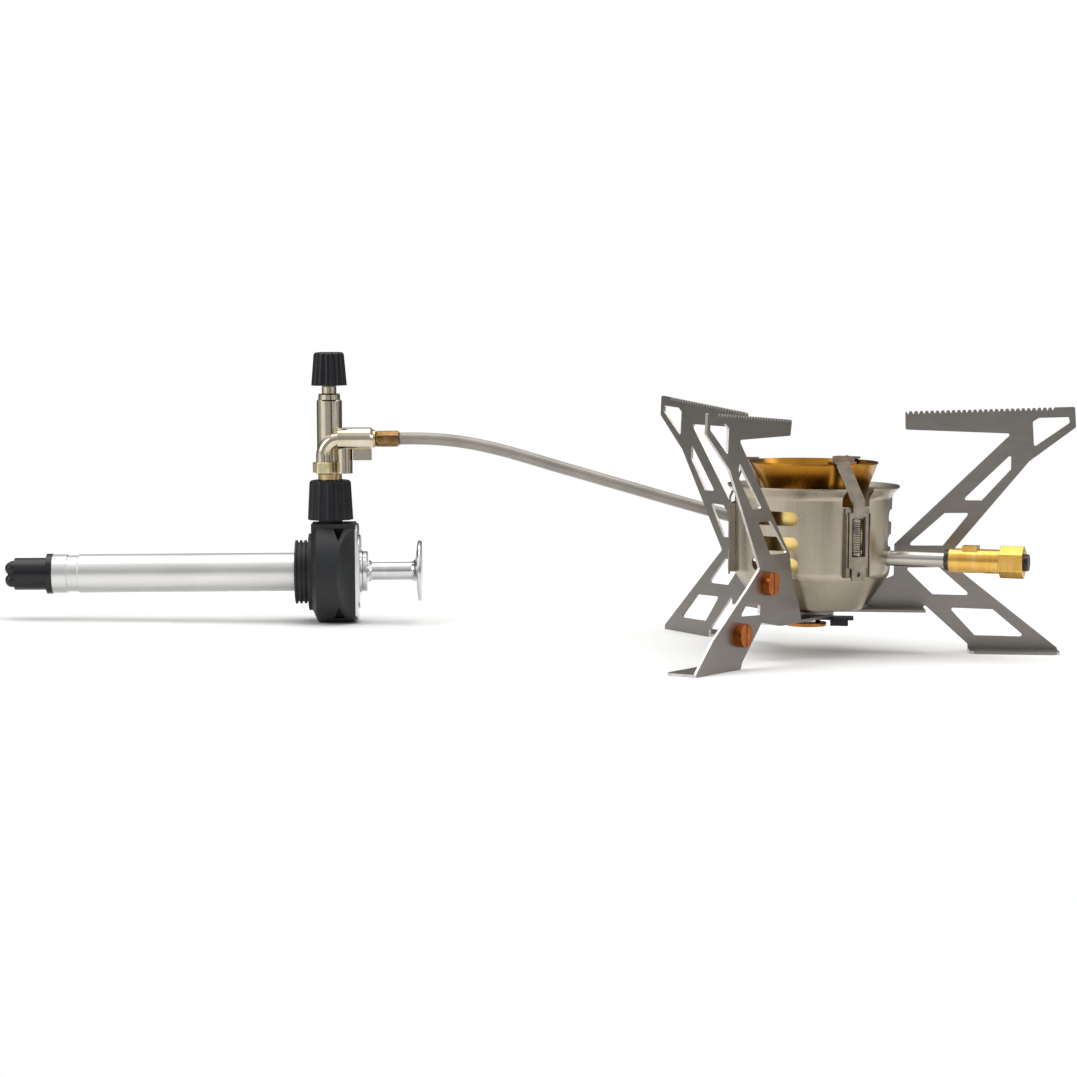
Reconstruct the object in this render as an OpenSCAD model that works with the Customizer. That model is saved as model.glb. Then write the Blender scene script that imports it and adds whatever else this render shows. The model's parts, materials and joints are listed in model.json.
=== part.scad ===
// Multi-fuel camping stove: folding burner stand, metal fuel hose, control valve and bottle pump.
// The origin is on the ground, on the burner's vertical axis, with the pump to the left.

/* [Leg set] */
// Radius of the outer end of a pot arm
leg_reach = 110; // [104:1:118]
// Height of the outer end of a pot arm
leg_height = 103.2; // [100:0.2:108]
// Thickness of the leg plates
leg_t = 1.1; // [0.9:0.1:1.3]
// Distance from the burner axis to the middle of a leg plate
leg_offset = 8.9; // [8:0.1:10]
// Width of a bent foot
foot_w = 14; // [10:0.5:16]
// Corner radius of the leg cut-outs
leg_corner_r = 0.7; // [0.5:0.1:1.5]
// Number of teeth along a pot arm
tooth_n = 28; // [20:1:34]
// Depth of a pot arm tooth
tooth_d = 1.4; // [0.8:0.1:2]
// Azimuth of the right leg
right_az = 3.3; // [0:0.1:6]
// Azimuth of the rear leg
rear_az = 123.3; // [120:0.1:126]
// Azimuth of the front leg
front_az = 243.3; // [240:0.1:246]
// Free gap between the turning leg eyes
stack_gap = 0.1; // [0.05:0.01:0.2]
// Radius of the centre pivot bolt
pivot_r = 3; // [2.5:0.1:3.5]
// Radial clearance round a shaft
run_gap = 0.05; // [0.03:0.01:0.08]
// Radius of a spare jet's head
spare_jet_r = 4.8; // [3.5:0.1:5.5]

/* [Burner cup] */
// Outer radius of the cup wall above its cone
cup_r = 32.4; // [31.8:0.1:32.8]
// Outer radius of the wall below the rim
cup_top_r = 33.1; // [32.8:0.1:33.5]
// Outer radius of the turned rim
cup_rim_r = 36.1; // [35:0.1:37]
// Radius of the flat bottom
cup_base_r = 22; // [21:0.1:24]
// Height of the bottom above the ground
cup_z = 18.3; // [17:0.1:20]
// Height from the bottom to the top of the cone
cup_cone_h = 15; // [12:0.5:18]
// Height from the bottom to the rim
cup_h = 51.7; // [50:0.1:53]
// Thickness of the cup sheet
cup_t = 0.8; // [0.5:0.1:1]
// Height of an air slot
slot_h = 5.8; // [4:0.1:7]
// Length of an air slot
slot_l = 22; // [16:0.5:25]

/* [Burner] */
// Outer radius of the bell below its flare
bell_r = 21.4; // [20:0.1:22.5]
// Outer radius of the bell rim
bell_rim_r = 27; // [26:0.1:28]
// Height of the bell rim above the cup rim
bell_up = 9.7; // [8:0.1:11]
// Thickness of the bell sheet
bell_t = 0.8; // [0.5:0.1:1]
// Radius of the flame spreader
spreader_r = 15.5; // [12:0.5:17]
// Outer radius of the mixing tube
mix_r = 3.15; // [2.8:0.05:3.4]
// Azimuth of the mixing tube
mix_az = -13; // [-16:0.5:-11]
// Height of the mixing tube's axis above the cup bottom
mix_up = 21.9; // [20:0.1:24]
// Length of the mixing tube outside the cup
mix_l = 26.1; // [22:0.1:30]
// Outer radius of the jet block
block_r = 5; // [4.5:0.1:5.5]
// Length of the jet block
block_l = 20.9; // [18:0.1:24]
// Width across the flats of the jet block nut
block_nut_af = 11.8; // [11:0.1:13]
// Length of the jet block nut
block_nut_l = 10; // [8:0.1:12]
// Outer radius of the vaporiser pipe
pipe_r = 1.6; // [1.3:0.1:1.8]

/* [Clips] */
// Azimuth of the first clip
clip_az = -56.7; // [-60:0.1:-54]
// Width of the clip guide
guide_w = 11.8; // [11:0.1:12.4]
// Width of the sliding strap
strap_w = 9.4; // [8.6:0.1:9.6]
// Width of the slanted arm
arm_w = 6.2; // [5:0.1:7]
// Thickness of the clip sheet
clip_t = 0.7; // [0.5:0.05:0.8]
// Outer diameter of a clip spring
spring_d = 5.2; // [4.6:0.1:5.4]
// Wire diameter of a clip spring
spring_wire = 0.7; // [0.5:0.05:0.8]
// Number of turns in a clip spring
spring_turns = 10; // [6:1:11]

/* [Hose] */
// Outer diameter of the braided hose
hose_d = 5.4; // [4.8:0.1:5.8]
// Bend radius of the hose next to the burner
hose_bend_r = 25.3; // [23:0.1:26]
// Diameter of the crimped ferrule at the valve
ferrule_d = 7.7; // [7:0.1:8.4]
// Length of the crimped ferrule at the valve
ferrule_l = 10.6; // [9:0.1:12]

/* [Valve] */
// Outer diameter of the valve body
valve_d = 11.3; // [10.5:0.1:12]
// Height of the valve body
valve_h = 33.2; // [30:0.1:35]
// Diameter of the outlet arm
outlet_d = 10.2; // [9:0.1:11]
// Width across the flats of the side nut
side_nut_af = 8.4; // [8:0.1:9.4]
// Diameter of the control knob at its foot
knob_d = 15.9; // [14:0.1:18]
// Height of the control knob
knob_h = 14.8; // [13:0.1:17]
// Diameter of the coupling knob at its foot
coupler_d = 20.3; // [19:0.1:22]
// Height of the coupling knob
coupler_h = 17.7; // [16:0.1:19]
// Number of lobes round each knob
lobe_n = 12; // [8:1:16]

/* [Pump] */
// Distance from the burner axis to the valve axis along the length
valve_x = 214.4; // [205:0.1:225]
// Lean of the pump and valve towards the end cap, in degrees
pump_lean = 1; // [0:0.1:2]
// Turn of the pump and valve round the vertical, in degrees
pump_turn = 5; // [0:0.5:8]
// Distance from the burner axis to the pump axis across the length
pump_y = 86; // [84:0.5:88]
// Diameter of the lobed grip
grip_d = 44.8; // [42:0.1:47]
// Length of the lobed grip
grip_l = 19.4; // [17:0.1:21]
// Radius of the hollow facets at the front and back of the grip
facet_r = 25; // [20:1:40]
// Crest diameter of the bottle thread
thread_d = 28.4; // [27:0.1:29]
// Length of the bottle thread
thread_l = 6.1; // [5:0.1:8]
// Pitch of the bottle thread
thread_pitch = 2; // [1.8:0.1:2.4]
// Outer diameter of the pump tube
tube_d = 17.2; // [16:0.1:18]
// Length of the pump tube outside the grip
tube_l = 108.6; // [100:0.1:120]
// Wall of the pump tube
tube_t = 0.8; // [0.6:0.1:1]
// Diameter of the end cap
cap_d = 14.4; // [13:0.1:15]
// Length of the end cap
cap_l = 18.6; // [17:0.1:21]
// Diameter of the plunger rod
rod_d = 5; // [4:0.1:6]
// Diameter of the plunger knob's disc
disc_d = 27.3; // [25:0.1:29]
// Length of the plunger knob
knob_reach = 23.6; // [22:0.1:27]

/* [Hidden] */

$fn = 64;
over = 1;
sweep_sides = 8;
hose_sides = 10;

// Shares of the leg's reach and height, from the inner arm tip round the outside
arm_tip_share = [0.347, 0.9535];
right_tip_share = [0.351, 0.974];
arm_end_share = [0.995, 1];
arm_outer_shares = [[1, 0.917], [0.8245, 0.776]];
arm_inner_shares = [[0.757, 0.8886], [0.358, 0.8905]];
right_inner_shares = [[0.757, 0.8886], [0.353, 0.9]];
knee_share = [0.5136, 0.374];
foot_shares = [0.6045, 0.9455];
shin_shares = [[0.9455, 0.0174], [0.6027, 0.0296], [0.4345, 0.189]];
front_foot_shares = [0.7227, 1.0545];
front_shin_shares = [[0.582, 0.381], [0.676, 0.309], [0.933, 0.129], [1.0545, 0.0145]];
front_calf_shares = [[0.709, 0.028], [0.563, 0.1686]];
arm_window_shares = [
    [[0.8355, 0.938], [0.859, 0.9535], [0.973, 0.958], [0.977, 0.935], [0.842, 0.834]],
    [[0.757, 0.806], [0.757, 0.743], [0.648, 0.615], [0.5735, 0.615]],
    [[0.507, 0.562], [0.603, 0.564], [0.503, 0.429], [0.367, 0.428]]
];
shin_window_shares = [
    [[0.359, 0.338], [0.49, 0.34], [0.612, 0.2277], [0.467, 0.2297]],
    [[0.531, 0.1764], [0.697, 0.1715], [0.8227, 0.061], [0.63, 0.064]]
];
front_window_shares = [[[0.678, 0.253], [0.577, 0.24], [0.58, 0.1986], [0.73, 0.2054]]];
spare_jet_shares = [[0.5264, 0.3188], [0.7336, 0.1337]];
tongue_share = 0.432;
front_tongue_share = 0.41;
edge_top_share = 0.432;
front_low_share = 0.2455;
front_edge_shares = [[0.27, 0.22], [0.318, 0.2907], [0.35, 0.4225]];
teeth_end_share = 0.885;
tooth_over_share = 0.25;
tooth_flat_share = 0.1;

// Leg set
eye_r = leg_offset + leg_t / 2;
arm_tip = at_leg(arm_tip_share);
right_tip = at_leg(right_tip_share);
arm_end = at_leg(arm_end_share);
tongue_in = 3;
cone_gap = 1.3;
clip_gap = 0.5;
edge_low = 1;
edge_up = 11;
edge_step = 2.2;
tongue_front = foot_w - eye_r;
foot_corner_r = 3;
right_z = cup_z - stack_gap - leg_t;
rear_z = right_z - stack_gap - leg_t;
front_z = rear_z - stack_gap - leg_t;
lever_t = 0.9;
lever_z = front_z - stack_gap - lever_t;
lever_l = 17.7;
lever_w = 12;
lever_eye_r = 7;
pad_in = 8;
pad_l = 7.5;
pad_drop = 2.4;
pad_rib = 0.8;
pad_rib_n = 4;
pivot_nut_h = 1.3;
pivot_nut_r = 3.8;
pivot_nut_z = lever_z - stack_gap - pivot_nut_h;
base_disc_h = 1.5;
base_disc_r = 8.5;
base_disc_shift = 2;
base_disc_z = pivot_nut_z - base_disc_h;
bolt_head_r = 5;
bolt_head_h = 2.2;
bolt_tail = 0.4;
spare_jet_h = 3.4;
spare_jet_stud_r = 2.5;
spare_jet_stud_l = 2;
spare_jet_slot_w = 0.8;
spare_jet_slot_d = 0.6;

// Burner cup
cup_cone_z = cup_z + cup_cone_h;
cup_top_z = cup_z + cup_h;
cup_floor_z = cup_z + cup_t;
rim_fall = 4;
cup_round = 3;
slot_ups = [20.1, 28.7, 39.1];
front_slot_turn = 2.8;
slot_azs = [front_az - front_slot_turn, right_az, rear_az];
pivot_hole_r = pivot_r + run_gap;

// Burner bell and head
bell_top_z = cup_top_z + bell_up;
bell_flare_h = 15.2;
bell_flare_z = bell_top_z - bell_flare_h;
bell_foot_in = 1.6;
bell_foot_r = bell_r - bell_foot_in;
bell_foot_h = 4;
bell_bead = 0.35;
bell_round = 6.4;
head_foot_r = 4.5;
head_r = 9;
head_t = 1.4;
head_low_z = cup_floor_z + bolt_head_h;
head_up = 15;
head_top_up = 41;
head_z = cup_floor_z + head_up;
head_top_z = cup_floor_z + head_top_up;
gas_hole_r = 1;
gas_hole_n = 8;
post_r = 0.8;
post_h = 5;
post_n = 6;
spreader_t = 1.2;
spreader_z = head_top_z + spreader_t + post_h;
spreader_notch_r = 1.2;
spreader_notch_n = 18;
screw_r = 1.5;
screw_head_r = 2.8;
screw_head_h = 1.6;
pad_gap = 0.4;
pad_outer_r = bell_foot_r - bell_t - pad_gap;
pad_inner_r = bolt_head_r + pad_gap;
pad_h = 4;

// Mixing tube, jet block and vaporiser
mix_z = cup_z + mix_up;
mix_t = 0.7;
hole_gap = 0.15;
collar_l = 2.1;
collar_r = 4.3;
block_x = cup_r + mix_l;
block_end_x = block_x + block_l;
block_bore_r = 3.2;
jet_r = 2.4;
jet_l = 5.5;
jet_hole_r = 0.3;
air_rise = 1.3;
air_l = 6.4;
air_top_in = 5.4;
air_low_in = 9.6;
nut_bore_r = 3.55;
stub_r = nut_bore_r - run_gap;
stub_out = 1.9;
stub_l = block_nut_l + stub_out;
boss_r = 2.5;
boss_l = 6;
boss_in = 13.5;
pipe_off = 0.2;
pipe_gap = 0.25;
pipe_side = block_r + pipe_r + pipe_off;
pipe_hole_r = pipe_r + pipe_gap;
loop_r = 16.5;
loop_up = 0.9;
loop_z = head_top_z + loop_up;
loop_bend = 4;
loop_step = 15;
hose_az = 84;
hose_in_z = 47.5;
loop_end_az = 360 + mix_az + asin(pipe_side / loop_r);

// Clips
clip_azs = [clip_az, clip_az + 120, clip_az + 240];
guide_gap = 0.1;
guide_x = cup_top_r + guide_gap;
guide_lip = 1;
guide_lip_t = 0.6;
lip_short = 2;
guide_low_up = 15.2;
guide_top_up = 43.7;
guide_low_z = cup_z + guide_low_up;
guide_top_z = cup_z + guide_top_up;
strap_gap = 0.3;
strap_x = guide_x + clip_t + strap_gap;
strap_low_up = 19.2;
strap_top_up = 46.5;
strap_low_z = cup_z + strap_low_up;
strap_top_z = cup_z + strap_top_up;
clip_out_r = norm([guide_x + clip_t + guide_lip, guide_w / 2]);
spring_out = 0.4;
spring_up = 23.8;
spring_x = strap_x + spring_out - spring_d / 2;
spring_low_z = cup_z + spring_up;
spring_len = 15.7;
spring_top_z = spring_low_z + spring_len;
window_side = 1.3;
spring_window_w = spring_d + window_side;
spring_ring_n = 8;
spring_ring_sides = 6;
window_over = 1.8;
tab_w = 4;
hook_tab_w = 6.2;
hook_tab_h = 5.2;
hook_hole_r = 1;
strap_neck_w = 5.6;
strap_neck_h = 4.5;
hook_gap = 0.3;
hook_over = 4.4;
hook_out = 1.5;
hook_z = bell_top_z + hook_gap;
hook_in_x = bell_rim_r - hook_over;
hook_out_x = bell_rim_r + hook_out;
hook_w = 10.3;
hook_t = 0.8;
hook_lip = 2;
arm_side = 4.2;
hook_side = 2.6;
arm_low_z = strap_top_z - clip_t;
arm_fall = strap_x + clip_t / 2 - hook_out_x + hook_t / 2;
arm_rise = hook_z + hook_t / 2 - arm_low_z;
arm_tilt_in = atan(arm_fall / arm_rise);
arm_tilt_side = atan(arm_side / arm_rise);
arm_len = norm([arm_fall, arm_side, arm_rise]);
notch_side = 1.4;
notch_up = 44.2;
notch_w = guide_w + notch_side;
notch_z = cup_z + notch_up;

// Hose ends at the burner
fitting_x = cup_top_r;
fitting_back = 1.5;
fitting_stem_r = 2.5;
fitting_stem_l = 3;
fitting_af = 9;
fitting_l = 4.6;
burner_ferrule_r = 3.7;
burner_ferrule_x = fitting_x + fitting_l;
burner_ferrule_l = 9.3;

// Pump, with its axis along X
grip_r = grip_d / 2;
pump_z = grip_r;
grip_out = 8.3;
grip_left = -valve_x - grip_out;
grip_right = grip_left + grip_l;
collar_w = 1.4;
collar_d = 34.4;
thread_x = grip_left - collar_w - thread_l;
thread_depth = 1;
thread_crest = 0.9;
thread_n = floor((thread_l - thread_crest) / thread_pitch) + 1;
gasket_out = 2;
gasket_r = thread_d / 2 + gasket_out;
gasket_t = 0.9;
tube_x = thread_x - tube_l;
tube_r = tube_d / 2;
tube_in_r = tube_r - tube_t;
groove_in = 6.7;
groove_l = 5;
groove_d = 0.5;
cap_flange_l = 2.5;
cap_flange_d = 18;
cap_plug_l = 6;
cap_lobe_n = 4;
cap_lobe_l = 4.2;
cap_lobe_r = 3.1;
cap_lobe_in = 0.4;
cap_tip_in = 1.5;
cap_core_r = 5;
cap_end_x = tube_x - cap_flange_l - cap_l;
filter_in = 2;
filter_l = 5;
filter_r = 2.6;
seat_t = 1.2;
seat_r = 1.5;
check_bore_r = 3.2;
check_ball_r = 2.5;
check_seat_x = cap_end_x + filter_in + filter_l + seat_t;
check_ball_x = check_seat_x + sqrt(pow(check_ball_r, 2) - pow(seat_r, 2));
check_spring_x = check_ball_x + check_ball_r;
check_spring_r = 2.3;
check_wire_r = 0.3;
check_spring_l = 7.4;
check_turns = 5;
check_bore_l = check_spring_x + check_spring_l + 2 * check_wire_r - check_seat_x;
flange_t = 1.2;
flange_d = 43.4;
hub_t = 2.1;
hub_d = 32.8;
flange_half = 10.2;
cap_nut_d = 18.8;
cap_nut_l = 3.1;
cap_nut_in = 1;
cap_ring_l = 2.2;
cap_ring_d = 18;
cap_nut_x = grip_right;
cap_ring_x = cap_nut_x + cap_nut_l;
rod_r = rod_d / 2;
rod_hole_r = rod_r + run_gap;
knob_gap = 0.6;
plunger_x = cap_ring_x + cap_ring_l + knob_gap;
knob_neck_d = 8.1;
knob_foot_d = 10.4;
knob_foot_l = 1.4;
flare_l = 3.4;
flare_r = 5.8;
disc_edge = 0.95;
piston_l = 5;
piston_gap = 0.3;
piston_cup_l = 6;
piston_cup_t = 1.2;
rod_tail = 4;
rod_rest = 4;
rod_low_x = tube_x + cap_plug_l + rod_tail + rod_rest;
piston_x = rod_low_x + rod_tail;

// Grip, with a hollow facet at its front and back and a flat land on top
facet_in = 10.4;
facet_l = 7.3;
facet_chord = norm([facet_l, grip_r - facet_in]);
facet_out = sqrt(pow(facet_r, 2) - pow(facet_chord / 2, 2));
grip_bevel_l = 2.5;
grip_bevel_r = 5.4;
grip_edge = 0.8;
land_w = 19;
land_low = 8;
land_down = 0.5;
vee_w = 4.8;
vee_h = 5.3;
vee_up = 20;
vee_in = 4.1;
vee_back = 5;

// Coupling and valve, on the vertical axis through the grip
stem_r = 2.9;
neck_sink = 1.2;
neck_r = 5.3;
neck_h = 2.05;
neck_low_z = pump_z + grip_r - neck_sink;
neck_top_z = neck_low_z + neck_h;
coupler_gap = 0.15;
coupler_z = neck_top_z + coupler_gap;
coupler_taper = 1.9;
coupler_bore_r = stem_r + run_gap;
stem_flange_r = 5.3;
stem_flange_h = 2.6;
stem_low_up = 9.6;
stem_low_z = pump_z + stem_low_up;
stem_top_z = coupler_z + coupler_h + stack_gap;
stem_seal_r = 3.9;
stem_seal_h = 1.8;
valve_z = stem_top_z + stem_flange_h;
valve_r = valve_d / 2;
valve_top_z = valve_z + valve_h;
crown_h = 2.6;
crown_r = 4.85;
crown_edge = 0.4;
body_edge = 0.6;
hose_start_out = 31.2;
outlet_side = 6;
outlet_up = 15.8;
outlet_y = pump_y - outlet_side;
outlet_z = valve_z + outlet_up;
outlet_r = outlet_d / 2;
outlet_gap = 0.9;
outlet_edge = 1.2;
outlet_ring_r = 3.9;
outlet_in = 4;
outlet_x = hose_start_out - valve_x - ferrule_l - outlet_gap;
outlet_in_x = outlet_in - valve_x;
arm_r = 3.2;
arm_bend = 7.5;
side_nut_in = 2.6;
side_nut_x = -valve_x - side_nut_in;
side_nut_up = 0.7;
side_nut_h = 4.9;
pillar_r = 3.6;
pillar_in = 6.75;
pillar_up = 0.5;
pillar_side = 0.6;
pillar_x = pillar_in - valve_x;
pillar_y = outlet_y + pillar_side;
lug_l = 8.1;
lug_h = 5.3;
lug_w = 5;
lug_in = 10.7;
lug_x = lug_in - valve_x;
gland_r = 3.25;
gland_h = 3.4;
seal_r = 3;
seal_h = 5;
spindle_r = 1.5;
spindle_hole_r = spindle_r + run_gap;
spindle_tip = 2;
spindle_up = 12;
spindle_low_z = valve_z + spindle_up;
valve_end_z = valve_top_z + crown_h;
knob_gap_z = 0.3;
knob_z = valve_end_z + gland_h + knob_gap_z;
knob_taper = 2.5;
lobe_depth = 0.7;
lobe_r = 2;
knob_round = 1.5;
knob_seat_h = 9;

// The edge of the grip stays on the ground under the leaning pump
pump_lift = grip_out * sin(pump_lean);

// Hose route: a falling run along X, a level bend towards the burner and a short straight end.
// It leaves the leaning valve straight and is on its own route after the free share of the run
hose_free_share = 0.42;
hose_fall_shares = [
    [0, 0], [0.0426, 0], [0.0974, 0.0087], [0.1582, 0.0319], [0.2191, 0.0725],
    [0.28, 0.1275], [0.3469, 0.2029], [0.4139, 0.287], [0.4808, 0.3739], [0.5478, 0.4609],
    [0.6147, 0.5478], [0.6817, 0.6348], [0.7486, 0.7217], [0.8156, 0.8058], [0.8825, 0.887],
    [0.9434, 0.9478]
];
hose_bend_n = 6;
hose_settle = 0.5;
hose_start = [hose_start_out - valve_x, pump_y - outlet_side, valve_z + outlet_up];
hose_end_r = burner_ferrule_x + burner_ferrule_l;
bend_tail_r = (hose_start[1] - hose_bend_r * (1 + cos(hose_az))) / sin(hose_az);
bend_x = bend_tail_r * cos(hose_az) - hose_bend_r * sin(hose_az);
hose_run = [for (s = hose_fall_shares)
    let (
        p = [hose_start[0] + s[0] * (bend_x - hose_start[0]), hose_start[1],
            hose_start[2] + s[1] * (hose_in_z - hose_start[2])],
        straight = hose_fall_shares[1][0]
    )
    p + faded((s[0] - straight) / (hose_free_share - straight)) * (leant(p) - p)];
hose_bend = [for (k = [0:hose_bend_n]) let (a = 90 - (180 - hose_az) * k / hose_bend_n) [
    bend_x + hose_bend_r * cos(a), hose_start[1] + hose_bend_r * (sin(a) - 1),
    hose_in_z + hose_settle * pow(1 - k / hose_bend_n, 6)]];
hose_route = concat(hose_run, hose_bend, [polar(hose_end_r, hose_az, hose_in_z)]);

// From 1 down to 0 with level ends
function faded(t) = t <= 0 ? 1 : t >= 1 ? 0 : (1 - t) * (1 - t) * (1 + 2 * t);

// A point of the upright pump or valve, leant and turned with them
function leant(p) =
    let (
        x = (p[0] + valve_x) * cos(pump_lean) - p[2] * sin(pump_lean),
        z = (p[0] + valve_x) * sin(pump_lean) + p[2] * cos(pump_lean),
        q = turned([x, p[1] - pump_y, z], pump_turn)
    )
    [q[0] - valve_x, q[1] + pump_y, q[2] + pump_lift];

function at_leg(share) = [share[0] * leg_reach, share[1] * leg_height];

function unit(v) = v / norm(v);

// Radius along a leg plate at a true distance from the burner axis
function along_leg(radius) = sqrt(pow(radius, 2) - pow(leg_offset - leg_t / 2, 2));

function polar(radius, az, z) = [radius * cos(az), radius * sin(az), z];

function turned(p, az) = [p[0] * cos(az) - p[1] * sin(az), p[0] * sin(az) + p[1] * cos(az), p[2]];

// One corner of an outline as a short arc
function corner(a, b, c, radius, steps) =
    let (
        u = unit(a - b),
        v = unit(c - b),
        half = acos(max(-1, min(1, u * v))) / 2,
        back = min(radius / tan(half), 0.45 * min(norm(a - b), norm(c - b))),
        rr = back * tan(half),
        m = b + unit(u + v) * rr / sin(half),
        s = b + u * back - m,
        e = b + v * back - m,
        w = 180 - 2 * half
    )
    [for (k = [0:steps]) m + (s * sin(w * (1 - k / steps)) + e * sin(w * k / steps)) / sin(w)];

function rounded(p, radius, steps = 3) =
    let (n = len(p))
    [for (i = [0:n - 1]) each corner(p[(i + n - 1) % n], p[i], p[(i + 1) % n], radius, steps)];

function heading(p, i) =
    i == 0 ? unit(p[1] - p[0])
    : i == len(p) - 1 ? unit(p[i] - p[i - 1])
    : unit(unit(p[i + 1] - p[i]) + unit(p[i] - p[i - 1]));

function carried(v, t) = unit(v - (v * t) * t);

function side_vectors(p, v, i = 0, done = []) =
    i == len(p) ? done
    : let (n = carried(v, heading(p, i))) side_vectors(p, n, i + 1, concat(done, [n]));

function ring_points(c, t, n, radius, sides) =
    let (b = cross(t, n))
    [for (k = [0:sides - 1]) c + radius * (cos(360 * k / sides) * n + sin(360 * k / sides) * b)];

// A tube of one radius along a list of points
module swept_tube(path, radius, sides, up) {
    normals = side_vectors(path, up);
    rows = len(path);
    points = [for (i = [0:rows - 1])
        each ring_points(path[i], heading(path, i), normals[i], radius, sides)];
    walls = [for (i = [0:rows - 2]) for (k = [0:sides - 1])
        let (a = i * sides + k, b = i * sides + (k + 1) % sides)
        each [[a, a + sides, b], [b, a + sides, b + sides]]];
    first_cap = [for (k = [1:sides - 2]) [0, k, k + 1]];
    last = (rows - 1) * sides;
    last_cap = [for (k = [1:sides - 2]) [last, last + k + 1, last + k]];
    polyhedron(points, concat(walls, first_cap, last_cap));
}

// Points of a coil that climbs along Z
function coil(radius, length, turns, per_turn) =
    [for (i = [0:turns * per_turn])
        [radius * cos(360 * i / per_turn), radius * sin(360 * i / per_turn),
            length * i / (turns * per_turn)]];

// Least distance between points of a coil that lie half a turn or more apart
function coil_gap(p, per_turn, wire_d) =
    min([for (i = [0:len(p) - 1]) for (j = [i + per_turn / 2:len(p) - 1])
        norm(p[i] - p[j])]) - wire_d;

spring_mean_r = (spring_d - spring_wire) / 2;
spring_path = coil(spring_mean_r, spring_len - spring_wire, spring_turns, spring_ring_n);
check_path = coil(check_spring_r, check_spring_l, check_turns, spring_ring_n);
echo("least gap in a clip spring", coil_gap(spring_path, spring_ring_n, spring_wire));
echo("least gap in the check spring", coil_gap(check_path, spring_ring_n, 2 * check_wire_r));

module ring(outer_r, inner_r, h) {
    difference() {
        cylinder(r = outer_r, h = h);
        translate([0, 0, -over]) cylinder(r = inner_r, h = h + 2 * over);
    }
}

module hex(af, h) {
    cylinder(d = af / cos(30), h = h, $fn = 6);
}

// Children drawn along Z are laid along X on the pump axis
module on_pump(x) {
    translate([x, pump_y, pump_z]) rotate([0, 90, 0]) children();
}

// Children drawn along Z are laid outwards on the mixing tube's axis
module on_mix(x) {
    rotate([0, 0, mix_az]) translate([x, 0, mix_z]) rotate([0, 90, 0]) children();
}

// Children drawn along Z are laid outwards where the hose enters the cup
module on_hose_entry(x) {
    rotate([0, 0, hose_az]) translate([x, 0, hose_in_z]) rotate([0, 90, 0]) children();
}

module on_valve(z) {
    translate([-valve_x, pump_y, z]) children();
}

// The pump and valve are drawn upright along X, then turned, and leant until the grip's edge is on the ground
module leaning() {
    translate([-valve_x, pump_y, pump_lift]) rotate([0, -pump_lean, pump_turn])
        translate([valve_x, -pump_y, 0]) children();
}

// Saw teeth cut along the top of a pot arm from its inner tip
module teeth_cut(tip) {
    u = unit(arm_end - tip);
    v = [-u[1], u[0]];
    teeth_len = norm(arm_end - tip) * teeth_end_share;
    pitch = teeth_len / tooth_n;
    peak = tooth_d * tooth_over_share;
    zigzag = [for (i = [0:tooth_n - 1])
        each [tip + u * pitch * (i + tooth_flat_share) + v * peak,
            tip + u * pitch * (i + 0.5) - v * tooth_d,
            tip + u * pitch * (i + 1 - tooth_flat_share) + v * peak]];
    polygon(concat(zigzag, [tip + u * teeth_len + v * over, tip + v * over]));
}

module leg_blank(outline, windows, tip) {
    translate([0, leg_offset + leg_t / 2, 0])
        rotate([90, 0, 0])
            linear_extrude(leg_t)
                difference() {
                    polygon(rounded(outline, leg_corner_r));
                    teeth_cut(tip);
                    for (w = windows) polygon(rounded([for (s = w) at_leg(s)], leg_corner_r));
                }
}

module leg_foot(inner_share, outer_share) {
    x0 = inner_share * leg_reach;
    x1 = outer_share * leg_reach;
    y1 = leg_offset + leg_t / 2;
    y0 = y1 - foot_w;
    a = [x0, y1];
    b = [x0, y0];
    c = [x1, y0];
    d = [x1, y1];
    linear_extrude(leg_t)
        polygon(concat([a], corner(a, b, c, foot_corner_r, 3), corner(b, c, d, foot_corner_r, 3), [d]));
}

// Horizontal tongue from a leg plate to its eye on the pivot
module leg_tongue(z, share) {
    translate([0, 0, z])
        difference() {
            union() {
                cylinder(r = eye_r, h = leg_t);
                translate([0, -tongue_front, 0])
                    cube([share * leg_reach, tongue_front + eye_r, leg_t]);
            }
            translate([0, 0, -over]) cylinder(r = pivot_hole_r, h = leg_t + 2 * over);
        }
}

function arm_outline(tip) = concat([tip, arm_end], [for (s = arm_outer_shares) at_leg(s)]);

function inner_arm(shares) = [for (s = shares) at_leg(s)];

// Inner edge of a leg, which follows the cup with room to swing past the clips
function inner_edge(z) =
    let (
        low_x = along_leg(cup_base_r + tongue_in),
        cone_r = cup_base_r + (cup_r - cup_base_r) * edge_up / cup_cone_h,
        swing_x = along_leg(clip_out_r + clip_gap)
    )
    [
        [low_x, z], [low_x, cup_z + edge_low], [along_leg(cone_r + cone_gap), cup_z + edge_up],
        [swing_x, cup_z + edge_up + edge_step], [swing_x, leg_height * edge_top_share]
    ];

module standard_leg(z, tip, inner_shares) {
    outline = concat(
        arm_outline(tip),
        [at_leg(knee_share), at_leg(shin_shares[0]), [foot_shares[1] * leg_reach, 0],
            [foot_shares[0] * leg_reach, 0], at_leg(shin_shares[1]), at_leg(shin_shares[2]),
            [tongue_share * leg_reach, z]],
        inner_edge(z),
        inner_arm(inner_shares));
    leg_blank(outline, concat(arm_window_shares, shin_window_shares), tip);
    leg_foot(foot_shares[0], foot_shares[1]);
    leg_tongue(z, tongue_share);
}

module leg_right() {
    color("#8b8782") rotate([0, 0, right_az]) standard_leg(right_z, right_tip, right_inner_shares);
}

module leg_rear() {
    color("#8b8782") rotate([0, 0, rear_az]) standard_leg(rear_z, arm_tip, arm_inner_shares);
}

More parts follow.
